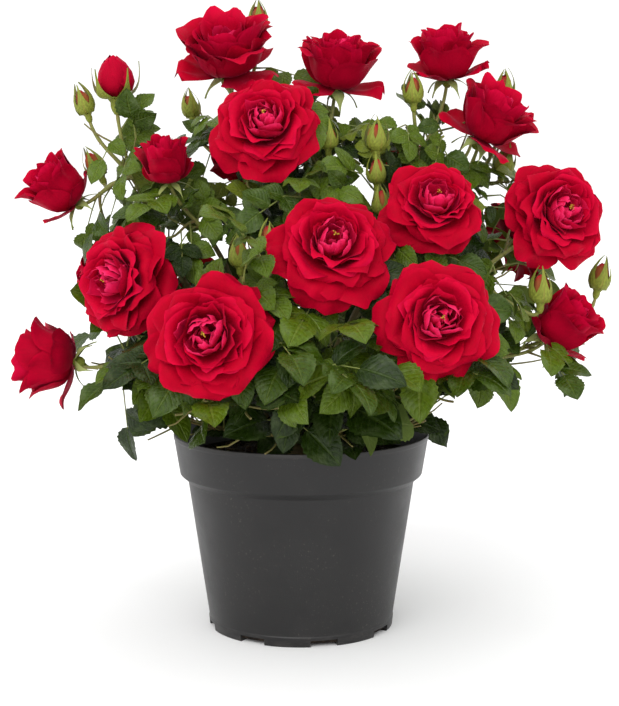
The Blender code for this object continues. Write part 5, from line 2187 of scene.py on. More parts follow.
def bezier(controls: np.ndarray, share: np.ndarray) -> tuple[np.ndarray, np.ndarray]:
    """A cubic curve's points and runs.

    Args:
        controls: Its two ends and two handles, as rows.
        share: How far along each point lies.

    Returns:
        The points, and the run at each, of length 1.
    """
    back = 1 - share
    weights = np.stack([back**3, 3 * back**2 * share, 3 * back * share**2, share**3], axis=1)
    slopes = np.stack([back**2, 2 * back * share, share**2], axis=1)
    run = slopes @ np.diff(controls, axis=0)
    return weights @ controls, run / np.linalg.norm(run, axis=1, keepdims=True)


@dataclass
class Petals:
    """Bends blades into the petals and sepals of a flower.

    Attributes:
        round_off: How far a petal's rim falls back at its corners, in a goblet and in a full bloom.
        square: How square its corners are, in a goblet and in a full bloom.
        notch: How deep the dent in the rim is, how narrow, and how far from its middle it may lie.
        scallop: How deep the waves along the rim's outline are, in a goblet and in a full bloom.
        foot: A petal's width at its base, and the share of its length where it is full.
        tilt: How far a petal may lean from its ring's curve, in radians.
        size: How much longer a petal may be than its ring's curve.
        width: How much wider it may be.
        thickness: Half a petal's thickness, as a share of the spread.
        crowding: How much closer the rows of a petal lie towards its rim.
        rim: Where along a petal its rim begins to roll.
        rim_roll: How much it rolls, against its ring's.
        flank: Where across a petal its flanks begin to roll.
        flank_roll: How much each rolls, against its ring's.
        twist: How much higher one side of a petal may stand than the other.
        waves: How many waves run across a petal.
        ruffles: How deep they are, against its ring's.
        sepal: A sepal's width at its base, how much its belly adds, and its width at its tip.
    """

    round_off: Pair = (0.29, 0.36)
    square: Pair = (3.2, 3.4)
    notch: tuple[float, float, float] = (0.05, 0.22, 0.35)
    scallop: Pair = (0.015, 0.028)
    foot: Pair = (0.30, 0.70)
    tilt: float = 0.10
    size: Pair = (-0.08, 0.05)
    width: Pair = (-0.10, 0.12)
    thickness: float = 0.0032
    crowding: float = 0.8
    rim: float = 0.70
    rim_roll: Pair = (0.4, 1.5)
    flank: float = 0.45
    flank_roll: Pair = (0.1, 1.8)
    twist: Pair = (-0.020, 0.050)
    waves: Pair = (1.2, 2.6)
    ruffles: Pair = (0.5, 1.6)
    sepal: tuple[float, float, float] = (0.75, 0.6, 0.02)

    def midline(self, flower: Flower, ring: Ring, dice: random.Random) -> np.ndarray:
        """The midline of one petal, a little unlike its neighbours'.

        Args:
            flower: The flower that bears it.
            ring: The ring that it is in.
            dice: The source of chance.

        Returns:
            The midline's ends and handles.
        """
        controls = np.array(ring.curve)
        if ring.shut and flower.opening:
            shut = np.array(ring.shut)
            controls = shut + (controls - shut) * share_of(GOBLET_REACH, flower.opening)
        if flower.opening > GOBLET_OPENING and not flower.is_full:
            controls[:, 1] *= WIDE_HEIGHT
        tilt = dice.uniform(-self.tilt, self.tilt) * ring.wild
        size = 1 + dice.uniform(*self.size) * ring.wild
        lean = np.array([[math.cos(tilt), -math.sin(tilt)], [math.sin(tilt), math.cos(tilt)]]) * size
        controls[1:] = (controls[1:] - controls[0]) @ lean.T + controls[0]
        return controls

    def outline(self, across: np.ndarray, along: np.ndarray, is_full: bool,
                dice: random.Random) -> tuple[np.ndarray, np.ndarray]:
        """The outline of a petal.

        Args:
            across: How far across each point lies, from -1 to 1.
            along: How far along, from 0 to 1.
            is_full: Whether the bloom lies open and flat.
            dice: The source of chance.

        Returns:
            How far each point reaches along the midline, and how wide the petal is there.
        """
        deep, narrow, stray = self.notch
        dent = dice.uniform(-stray, stray)
        reach = along * (1 - self.round_off[is_full] * np.abs(across) ** self.square[is_full])
        reach -= deep * dice.uniform(0, 1.4) * np.exp(-(((across - dent) / narrow) ** 2)) * along**4
        reach -= self.scallop[is_full] * (1 + np.sin(dice.uniform(6, 10) * across + 9 * dent)) * along**5
        base, full = self.foot
        return reach, base + (1 - base) * np.sin(np.clip(along / full, 0, 1) * math.pi / 2) ** 1.2

    def ruffled(self, ring: Ring, across: np.ndarray, reach: np.ndarray, dice: random.Random) -> np.ndarray:
        """The waves of a petal's blade and rim.

        Args:
            ring: The ring that it is in.
            across: How far across each point lies, from -1 to 1.
            reach: How far along the midline.
            dice: The source of chance.

        Returns:
            How far each point is lifted.
        """
        waves, phase = dice.uniform(*self.waves), any_turn(dice)
        ruffle = ring.ruffle * dice.uniform(*self.ruffles)
        lift = ruffle * reach**2.5 * np.sin(waves * math.pi * across + phase)
        lift += ruffle * 0.4 * reach**2 * np.sin(3.0 * math.pi * reach + phase) * (1 - np.abs(across))
        lift += ruffle * 0.25 * reach**6 * np.sin(1.9 * waves * math.pi * across - phase)
        return lift

    def bend(self, form: Form, flower: Flower, ring: Ring, turn: float, dice: random.Random,
             kind: Kind) -> np.ndarray:
        """The points of one petal or sepal.

        Args:
            form: The blade.
            flower: The flower that bears it.
            ring: The ring that it is in.
            turn: Its place round the flower.
            dice: The source of chance.
            kind: Which of the two it is.

        Returns:
            The form's points in place.
        """
        across, along, side = form.points.T
        along = along**self.crowding
        edge = np.abs(across)
        if kind is Kind.PETAL:
            reach, spread = self.outline(across, along, flower.is_full, dice)
        else:
            reach = along
            base, belly, tip = self.sepal
            spread = base + belly * np.sin(np.clip(along / self.foot[1], 0, 1) * math.pi)
            spread = (1 - along**1.2) ** 1.05 * spread + tip
        middle, run = bezier(self.midline(flower, ring, dice), reach)
        inward = np.stack([-run[:, 1], run[:, 0]], axis=1)
        offset = across * spread * ring.width * (1 + dice.uniform(*self.width) * ring.wild)
        wrap = np.clip(run[:, 1], 0, 1) / (np.abs(middle[:, 0]) + 0.05)
        curl = wrap + ring.cup[0] + (ring.cup[1] - ring.cup[0]) * reach
        sideways = offset * np.sinc(curl * offset / math.pi)
        lift = offset * np.sinc(curl * offset / 2 / math.pi) * np.sin(curl * offset / 2)
        lift += self.ruffled(ring, across, reach, dice)
        lift += dice.uniform(*self.twist) * ring.wild * across * reach * (kind is Kind.PETAL)
        rim_share = np.clip(reach - self.rim, 0, 1) / (1 - self.rim)
        lift -= ring.roll[0] * dice.uniform(*self.rim_roll) * rim_share**2
        flank = np.where(across > 0, dice.uniform(*self.flank_roll), dice.uniform(*self.flank_roll))
        flank_share = np.clip(edge - self.flank, 0, 1) / (1 - self.flank)
        lift -= ring.roll[1] * flank * flank_share**2 * reach**1.5
        lift += side * self.thickness
        skew = dice.uniform(-0.05, 0.05) * reach**2
        radius = middle[:, 0] + inward[:, 0] * lift
        height = middle[:, 1] + inward[:, 1] * lift
        start, other, facing = flower.axes
        out, aside = turned(start, other, turn), turned(other, -start, turn)
        seat = flower.seat if flower.opening else flower.middle
        places = np.outer(radius, out) - np.outer(sideways + skew, aside) + np.outer(height, facing)
        size = 1.0 if flower.is_full or not flower.opening else GOBLET_SIZE
        return places * flower.spread * size + np.array(seat)


@dataclass
class Blossom:
    """All blooms and buds: petals, sepals, hips and stamens.

    Attributes:
        petals: Bends the petals and sepals.
        stray: How unevenly petals stand round a ring, and the rings on each other, in radians.
        wide: Half the width from which a bloom's petal is bent from the finer blade.
        hip: The hip's profile in shares of a full bloom's spread.
        bud_hip: The hip's profile in shares of a bud's spread.
        stamens: How many stamens show in the middle of an open bloom.
        stamen: A stamen's length and the radius of its thread, in shares of the spread.
        anther: The radius of its head in threads, and its height in shares of the length, low and high.
        heart: How high over the seat the stamens spring, in shares of the spread.
        lean: How far a stamen may lean, in radians.
    """

    petals: Petals = field(default_factory=Petals)
    stray: Pair = (0.12, 0.25)
    wide: float = 0.2
    hip: tuple[Pair, ...] = ((0.0, -0.125), (0.028, -0.12), (0.058, -0.085), (0.066, -0.045), (0.050, -0.008),
                             (0.030, 0.012), (0.0, 0.014))
    bud_hip: tuple[Pair, ...] = ((0.0, -1.04), (0.09, -1.02), (0.15, -0.90), (0.18, -0.78), (0.17, -0.66),
                                 (0.24, -0.55), (0.20, -0.46), (0.0, -0.44))
    stamens: int = 8
    stamen: Pair = (0.036, 0.0016)
    anther: tuple[Pair, ...] = ((3.4, 0.88), (3.6, 0.96))
    heart: float = 0.335
    lean: float = 0.85

    @staticmethod
    def frame_of(flower: Flower, at: Vector, size: float) -> Matrix:
        """The matrix that sets a form on a flower's axis.

        Args:
            flower: The flower.
            at: Where the form's origin goes.
            size: How much larger it gets.

        Returns:
            The matrix.
        """
        frame = Matrix([column * size for column in flower.axes]).transposed().to_4x4()
        frame.translation = at
        return frame

    def build_petals(self, pattern: NodeTree) -> None:
        """The petals of every bloom and the wrapped petals of every bud.

        Args:
            pattern: The petals' shading.
        """
        fine = Form.blade(across=13, beneath=13, along=8, pointed=False)
        small = Form.blade(across=6, beneath=6, along=5, pointed=False)
        materials = [finish.build(pattern, cells_along(len(PETAL_FINISHES))) for finish in PETAL_FINISHES]
        pieces = {"petals_front": Joined(len(materials)), "petals_back": Joined(len(materials))}
        homes: dict[str, set[str]] = {name: set() for name in pieces}
        uneven, shifted = self.stray
        for mass, flower in borne():
            dice = random.Random(f"{SEED} petals {flower.at}")
            name = "petals_back" if flower.at[1] > BACK_REACH[0] else "petals_front"
            homes[name].add(f"mass_{mass.name}")
            start = any_turn(dice)
            for ring in rings_of(flower)[0]:
                form = fine if ring.width > self.wide and flower.opening else small
                for k in range(ring.count):
                    place = k + dice.uniform(-uneven, uneven) * ring.wild
                    turn = start + FULL_TURN * place / ring.count
                    points = self.petals.bend(form, flower, ring, turn, dice, Kind.PETAL)
                    pieces[name].add(form, points, ring.tone)
                start += math.pi / ring.count + dice.uniform(-shifted, shifted)
        for name, piece in pieces.items():
            enrol(piece.build(name, materials, 80), sorted(homes[name]))

    def build_sepals(self, pattern: NodeTree) -> None:
        """The sepals and hips.

        Args:
            pattern: The leaf veins.
        """
        blade = Form.blade(across=4, beneath=4, along=7, pointed=False)
        hip, bud_hip = Form.turned(self.hip, 12), Form.turned(self.bud_hip, 10)
        for form in (hip, bud_hip):
            form.under += 1
        materials = [finish.build(pattern, cells_along(len(SEPAL_FINISHES))) for finish in SEPAL_FINISHES]
        piece = Joined(len(materials))
        for _, flower in borne():
            dice = random.Random(f"{SEED} sepals {flower.at}")
            ring = rings_of(flower)[1]
            start = any_turn(dice)
            for k in range(ring.count):
                turn = start + FULL_TURN * k / ring.count
                piece.add(blade, self.petals.bend(blade, flower, ring, turn, dice, Kind.SEPAL), 0)
            form, at = (hip, flower.seat) if flower.opening else (bud_hip, flower.middle)
            piece.add(form, form.moved(self.frame_of(flower, at, flower.spread)), 0)
        homes = [f"mass_{mass.name}" for mass in MASSES if mass.flowers]
        enrol(piece.build("sepals", materials, 75), homes)

    def build_stamens(self, pattern: NodeTree) -> None:
        """The few stamens that show in the heart of each full-blown bloom.

        Args:
            pattern: The leaf veins.
        """
        length, thread = self.stamen
        head = [(thread * wide, length * share) for wide, share in self.anther]
        form = Form.turned([(0.0, 0.0), (thread, 0.0), (thread, length * 0.82), *head, (0.0, length)], 6)
        last_corners = form.points[form.corners].reshape(-1, 3)[np.cumsum(form.sizes) - 1]
        form.under = (last_corners[:, 2] > length * 0.8) * 1
        piece = Joined(len(STAMEN_FINISHES))
        homes = set()
        for mass, flower in borne():
            if not flower.is_full:
                continue
            homes.add(f"mass_{mass.name}")
            dice = random.Random(f"{SEED} stamens {flower.at}")
            for _ in range(self.stamens):
                turn, lean = any_turn(dice), dice.uniform(0.0, self.lean)
                frame = self.frame_of(flower, flower.seat + flower.facing * flower.spread * self.heart,
                                      flower.spread * dice.uniform(0.8, 1.1))
                frame = frame @ Matrix.Rotation(turn, 4, "Z") @ Matrix.Rotation(lean, 4, "Y")
                piece.add(form, form.moved(frame), 0)
        materials = [finish.build(pattern, cells_along(len(STAMEN_FINISHES))) for finish in STAMEN_FINISHES]
        enrol(piece.build("stamens", materials, 60), sorted(homes))


# ---- wood ----
@dataclass
class Strand:
    """A round strand.

    Attributes:
        points: The points of its centre line.
        radii: Its radius at each.
        sides: How many sides it has.
        finish: Its finish.
    """

    points: list[Vector]
    radii: list[float]
    sides: int
    finish: int = 0

    def bent(self, form: Form, relief: float = 0.0) -> np.ndarray:
        """The points of a tube bent along the strand.

        Args:
            form: The straight tube.
            relief: How deep its relief is, as a share of the radius.

        Returns:
            The tube's points in place.
        """
        last = len(self.points) - 1
        sides, others = [], []
        side = (self.points[1] - self.points[0]).orthogonal().normalized()
        for i in range(last + 1):
            way = (self.points[min(i + 1, last)] - self.points[max(i - 1, 0)]).normalized()
            side = (side - way * side.dot(way)).normalized()
            sides.append(side)
            others.append(way.cross(side))
        ring = np.rint(form.points[:, 2] * last).astype(int)
        out = np.array(sides)[ring] * form.points[:, :1] + np.array(others)[ring] * form.points[:, 1:2]
        centre = np.array(self.points)[ring]
        radius = np.array(self.radii)[ring][:, None]
        if relief:
            radius = radius * (1 + relief * rough(centre + out * radius, 420.0))
        return centre + out * radius


def rough(points: np.ndarray, scale: float) -> np.ndarray:
    """Fractal noise at each point, as a column."""
    return np.array([[noise.fractal(Vector(point) * scale, 0.9, 2.0, 4)] for point in points])


@dataclass
class Timber:
    """The stem, canes and boughs with the bark's relief and prickles, and the finer stalks and twigs.

    Attributes:
        step: The distance between rings along a limb.
        twig_step: The distance between rings along a twig.
        node_spacing: The distance between the swollen rings where leaves have sat.
        node_swell: How much a limb swells there.
        node_width: How far along the limb the swelling reaches.
        relief: How deep the bark's relief is, as a share of the radius.
        prickle: A prickle's length and the radius of its foot.
        hook: How much longer a prickle's foot is than broad, and how far its tip leans, in lengths.
        prickle_spacing: The distance between prickles along a limb.
        shoot_prickles: How much further apart a shoot's prickles are, and how big.
        sides: How many sides a limb, a shoot, a side twig and a leaf stalk have.
        foot: The stem's radius and height over the compost below and above its surface.
        knots: How uneven the stem's head is, how far that is drawn in, and the most it may swell.
        tubes: The straight tubes made so far, by sides and rings.
    """

    step: float = 0.0022
    twig_step: float = 0.006
    node_spacing: float = 0.019
    node_swell: float = 0.22
    node_width: float = 0.0016
    relief: float = 0.16
    prickle: Pair = (0.0036, 0.0011)
    hook: Pair = (1.5, 0.35)
    prickle_spacing: float = 0.011
    shoot_prickles: Pair = (1.6, 0.55)
    sides: tuple[int, int, int, int] = (12, 8, 6, 5)
    foot: tuple[Pair, ...] = ((0.0, -0.002), (0.0136, -0.0015), (0.0120, 0.0015))
    knots: tuple[float, float, float] = (0.10, 0.04, 1.05)
    tubes: dict[tuple[int, int], Form] = field(default_factory=dict)

    def tube(self, sides: int, rings: int) -> Form:
        """A straight tube with closed ends, made once for each count of sides and rings.

        Args:
            sides: How many sides it has.
            rings: How many rings.

        Returns:
            The tube.
        """
        if (sides, rings) not in self.tubes:
            profile = [(0.0, 0.0), *((1.0, k / (rings - 1)) for k in range(rings)), (0.0, 1.0)]
            self.tubes[sides, rings] = Form.turned(profile, sides)
        return self.tubes[sides, rings]

    def strand(self, limb: Limb, step: float, sides: int, sunk: float, finish: int) -> Strand:
        """A limb's smooth strand, swollen at its nodes.

        Args:
            limb: The limb.
            step: The distance between rings.
            sides: How many sides it has.
            sunk: How far it starts inside what it springs from.
            finish: Its finish.

        Returns:
            The strand.
        """
        points = limb.drawn(step)
        if sunk:
            points = [points[0] - (points[1] - points[0]).normalized() * sunk] + points
        last = len(points) - 1
        half = self.node_spacing / 2
        radii = []
        for i in range(last + 1):
            off = (i / last * limb.length + half) % self.node_spacing - half
            swell = 1 + self.node_swell * math.exp(-((off / self.node_width) ** 2))
            radii.append(limb.radius(i / last) * swell)
        return Strand(points, radii, sides, finish)

    def add_strand(self, piece: Joined, strand: Strand, relief: float = 0.0) -> None:
        """Adds a strand to a piece.

        Args:
            piece: Where it goes.
            strand: The strand.
            relief: How deep its relief is, as a share of the radius.
        """
        form = self.tube(strand.sides, len(strand.points))
        piece.add(form, strand.bent(form, relief), strand.finish)

    def add_prickles(self, piece: Joined, limb: Limb, form: Form, spacing: float, size: float) -> None:
        """Adds hooked prickles along a limb.

        Args:
            piece: Where they go.
            limb: The limb.
            form: The prickle, with its foot at the origin.
            spacing: The distance between them.
            size: How big they are, as a share of the biggest.
        """
        dice = random.Random(f"{SEED} prickles {limb.name}")
        for count in range(1, int(limb.length / spacing)):
            share = (count + dice.uniform(-0.4, 0.4)) * spacing / limb.length
            place, run = limb.at(min(share, 0.97))
            side = run.orthogonal().normalized()
            out = turned(side, run.cross(side), any_turn(dice))
            scale = size * dice.uniform(0.6, 1.1)
            columns = [-run * scale, out.cross(-run) * scale, out * scale]
            frame = Matrix(columns).transposed().to_4x4()
            frame.translation = place + out * limb.radius(share) * 0.8
            piece.add(form, form.moved(frame), Wood.PRICKLE)

    def build_limbs(self, growth: Growth, pattern: NodeTree) -> None:
        """Builds the stem, canes and boughs.

        Args:
            growth: The grown bush.
            pattern: The wood's shading.
        """
        piece = Joined(1, two_sided=False)
        names = ["stem"]
        for mass_name, limb in growth.limbs.items():
            strand = self.strand(limb, self.step, self.sides[0], limb.radii[0] * 1.6, 0)
            self.add_strand(piece, strand, self.relief)
            names.append(limb.name)
        ground = COMPOST_TOP + COMPOST_HEAP
        middle = ground + GAP + KNUCKLE_HEIGHT
        rings = [(KNUCKLE_RADIUS * math.cos(turn), middle + KNUCKLE_RADIUS * math.sin(turn))
                 for turn in np.radians(np.linspace(-38, 80, 15))]
        foot = [(radius, ground + height) for radius, height in self.foot]
        stem = Form.turned([*foot, *rings, (0.0, middle + KNUCKLE_RADIUS)], 36)
        heart = np.array([0.0, 0.0, middle])
        uneven, drawn_in, most = self.knots
        swell = 1 + uneven * rough(stem.points, 110.0) - drawn_in
        piece.add(stem, heart + (stem.points - heart) * np.minimum(swell, most), 0)
        bark = BARK_FINISH.build(pattern, 1, (3.0, 34.0))
        enrol(piece.build("canes", [bark], 60), names)

    def build_twigs(self, growth: Growth, pattern: NodeTree) -> None:
        """Builds the shoots, side twigs and leaf stalks, with prickles on the shoots and limbs.

        Args:
            growth: The grown bush.
            pattern: The wood's shading.
        """
        materials = [finish.build(pattern, 2, (2.0, 14.0)) for finish in WOOD_FINISHES]
        piece = Joined(len(materials), two_sided=False)
        length, foot = self.prickle
        low = [(0.0, -0.0004), (foot, -0.0004), (foot * 0.85, 0.0002)]
        high = [(foot * 0.45, length * 0.4), (foot * 0.2, length * 0.75), (0.0, length)]
        hook = Form.turned(low + high, 6)
        broader, hooked = self.hook
        hook.points[:, 0] *= broader
        hook.points[:, 0] += hooked * length * (np.clip(hook.points[:, 2], 0, None) / length) ** 2
        for limb in growth.limbs.values():
            self.add_prickles(piece, limb, hook, self.prickle_spacing, 1.0)
        sparser, size = self.shoot_prickles
        _, shoot_sides, twig_sides, stalk_sides = self.sides
        for mass in MASSES:
            for shoot in mass.shoots:
                finish = Wood.STALK if shoot.flower else Wood.TWIG
                self.add_strand(piece, self.strand(shoot, self.twig_step / 2, shoot_sides, 0.0012, finish))
                self.add_prickles(piece, shoot, hook, self.prickle_spacing * sparser, size)
            for twig in mass.twigs:
                self.add_strand(piece, self.strand(twig, self.twig_step, twig_sides, 0.0, Wood.TWIG))
            for leaf in growth.leaves[mass.name]:
                points = [leaf.stalk[0], leaf.point(BEND / 2), leaf.point(BEND), leaf.point((1 + BEND) / 2),
                          leaf.stalk[2] + (leaf.stalk[2] - leaf.stalk[1]).normalized() * 0.001]
                widest, thinnest = STALK_RADII
                radii = [widest * 1.5, widest, widest * 0.9, between(STALK_RADII, 0.6), thinnest]
                self.add_strand(piece, Strand(points, radii, stalk_sides, Wood.LEAF_STALK))
        enrol(piece.build("twigs", materials, 50), [f"mass_{mass.name}" for mass in MASSES])


# ---- pot and compost ----
POT_HEIGHT = 0.130
POT_RIM_RADIUS = 0.085
POT_BAND_FOOT = (0.0808, 0.1035)  # radius and height, as of the shoulder
POT_SHOULDER = (0.0755, 0.0990)
POT_BASE_RADIUS = 0.0615
POT_WALL = 0.0018
LEDGE_RISE = 0.46
POT_FOOT = (0.0063, 0.0007)  # the foot band's height, and how far it stands out
NOTCHES = 8
NOTCH_SIZE = (0.030, 0.018, 0.0045)  # into the wall, along it, and up
NOTCH_TURN = math.radians(-76.0)


def wall_inside(clearance: float = 0.0) -> list[Pair]:
    """The pot's inner side from the floor up.

    Args:
        clearance: How far inside it the points lie.

    Returns:
        The radius and height of each point.
    """
    inset = POT_WALL + clearance
    rise = inset * LEDGE_RISE
    ledge = [(radius - inset, height + rise) for radius, height in (POT_SHOULDER, POT_BAND_FOOT)]
    return [(POT_BASE_RADIUS - inset, POT_WALL + clearance), *ledge, (POT_RIM_RADIUS - inset, POT_HEIGHT)]


def rounded(profile: list[Pair], reach: float, steps: int = 3) -> list[Pair]:
    """A profile with its corners rounded.

    Args:
        profile: Its points; the two ends stay.
        reach: How far from a corner the rounding starts.
        steps: How many faces it has.

    Returns:
        The rounded profile.
    """
    out = [profile[0]]
    for before, corner, after in zip(profile, profile[1:], profile[2:]):
        middle = Vector(corner)
        ends = []
        for other in (Vector(before), Vector(after)):
            away = other - middle
            ends.append(middle + away.normalized() * min(reach, away.length * 0.45))
        for k in range(steps + 1):
            share = k / steps
            point = ends[0].lerp(middle, share).lerp(middle.lerp(ends[1], share), share)
            out.append((point.x, point.y))
    return out + [profile[-1]]


@dataclass
class Pot:
    """The nursery pot: a thin tapered wall with a foot band, a ledge, a rim band and a rounded lip.

    Attributes:
        steps: Faces round it.
        corner: How far the rounding of its corners reaches.
        groove: How deep the line over the foot band is.
        lip: How far the lip stands out, and how far below the top it begins and ends.
        sharp: The angle between faces, in degrees, past which an edge is sharp.
    """

    steps: int = 144
    corner: float = 0.0007
    groove: float = 0.0004
    lip: tuple[float, float, float] = (0.0004, 0.0032, 0.0026)
    sharp: float = 32

    def profile(self) -> list[Pair]:
        """The outline of the wall, from the middle of the underside to the middle of the floor.

        Returns:
            The radius and height of each point.
        """
        height, depth = POT_FOOT
        foot = POT_BASE_RADIUS + depth
        out, low, high = self.lip
        outside = [(0.0, 0.0), (POT_BASE_RADIUS, 0.0), (foot, height), (foot - self.groove, height + depth),
                   POT_SHOULDER, POT_BAND_FOOT, (POT_RIM_RADIUS - out, POT_HEIGHT - low),
                   (POT_RIM_RADIUS, POT_HEIGHT - high), (POT_RIM_RADIUS, POT_HEIGHT)]
        return rounded(outside + wall_inside()[::-1] + [(0.0, POT_WALL)], self.corner)

    def build(self) -> None:
        """Turns the wall and cuts the drainage notches through its foot."""
        bm = bmesh.new()
        spin_profile(bm, self.profile(), self.steps)
        cutters = bmesh.new()
        length, width, height = NOTCH_SIZE
        block = Matrix.Translation((POT_BASE_RADIUS, 0.0, 0.0))
        block @= Matrix.Diagonal((length, width, 2 * height, 1.0))
        for i in range(NOTCHES):
            turn = Matrix.Rotation(NOTCH_TURN + FULL_TURN * i / NOTCHES, 4, "Z")
            bmesh.ops.create_cube(cutters, size=1.0, matrix=turn @ block)
        pot, cutter = (bpy.data.objects.new(name, mesh_of(shape, name))
                       for name, shape in (("pot", bm), ("notches", cutters)))
        for thing in (pot, cutter):
            bpy.context.scene.collection.objects.link(thing)
        cut = pot.modifiers.new("drainage notches", "BOOLEAN")
        cut.operation = "DIFFERENCE"
        cut.object = cutter
        mesh = settled(pot)
        bpy.data.objects.remove(cutter, do_unlink=True)
        mesh.name = "nursery_pot"
        enrol(add_piece(mesh, [self.plastic()], self.sharp), ["pot"])

    @staticmethod
    def plastic() -> Material:
        """Charcoal plastic with a fine moulded grain, a cloudy painted highlight along the top of the lip,
        paler rubbed wear towards the foot, and specks of dust.

        Returns:
            The material.
        """
        material, graph, shader = new_material("charcoal_plastic", 0.40)
        place = graph.place()
        up = graph.split(place)[2]
        cloud = graph.noise(place, 26.0, 5.0, 0.62)
        grain = graph.noise(place, 1500.0, 2.0, 0.5)
        speck = graph.noise(place, 620.0, 1.0, 0.4)
        rub = graph.noise(graph.scaled(place, (90.0, 90.0, 420.0)), 1.0, 3.0, 0.6)
        # painted highlight: the lip's top is painted paler in clouds; the paler band at the foot is rubbed
        # wear
        lip = graph.times(graph.span(up, 0.1262, POT_HEIGHT), graph.span(cloud, 0.30, 0.75))
        foot = graph.times(graph.span(up, 0.012, 0.0, 0.0, 0.7), graph.span(rub, 0.4, 0.7))
        wear_and_highlight = graph.times(graph.math("MAXIMUM", lip, foot), 0.45)
        specks, clouds = graph.span(speck, 0.66, 0.72), graph.span(cloud, 0.42, 0.66)
        dust = graph.math("MULTIPLY", specks, clouds, clamp=True)
        base = graph.mix(graph.span(cloud, 0.35, 0.68), (0.0078, 0.0073, 0.0075), (0.0108, 0.0101, 0.0101))
        worn_and_lit = graph.mix(wear_and_highlight, base, (0.070, 0.064, 0.058))
        dusty = graph.mix(graph.times(dust, 0.3), worn_and_lit, (0.100, 0.088, 0.072))
        roughness = graph.span(cloud, 0.3, 0.7, 0.36, 0.48)
        coat(graph, shader, dusty, roughness, graph.plus(grain, graph.times(rub, 0.8)), (0.30, 0.0002))
        return material


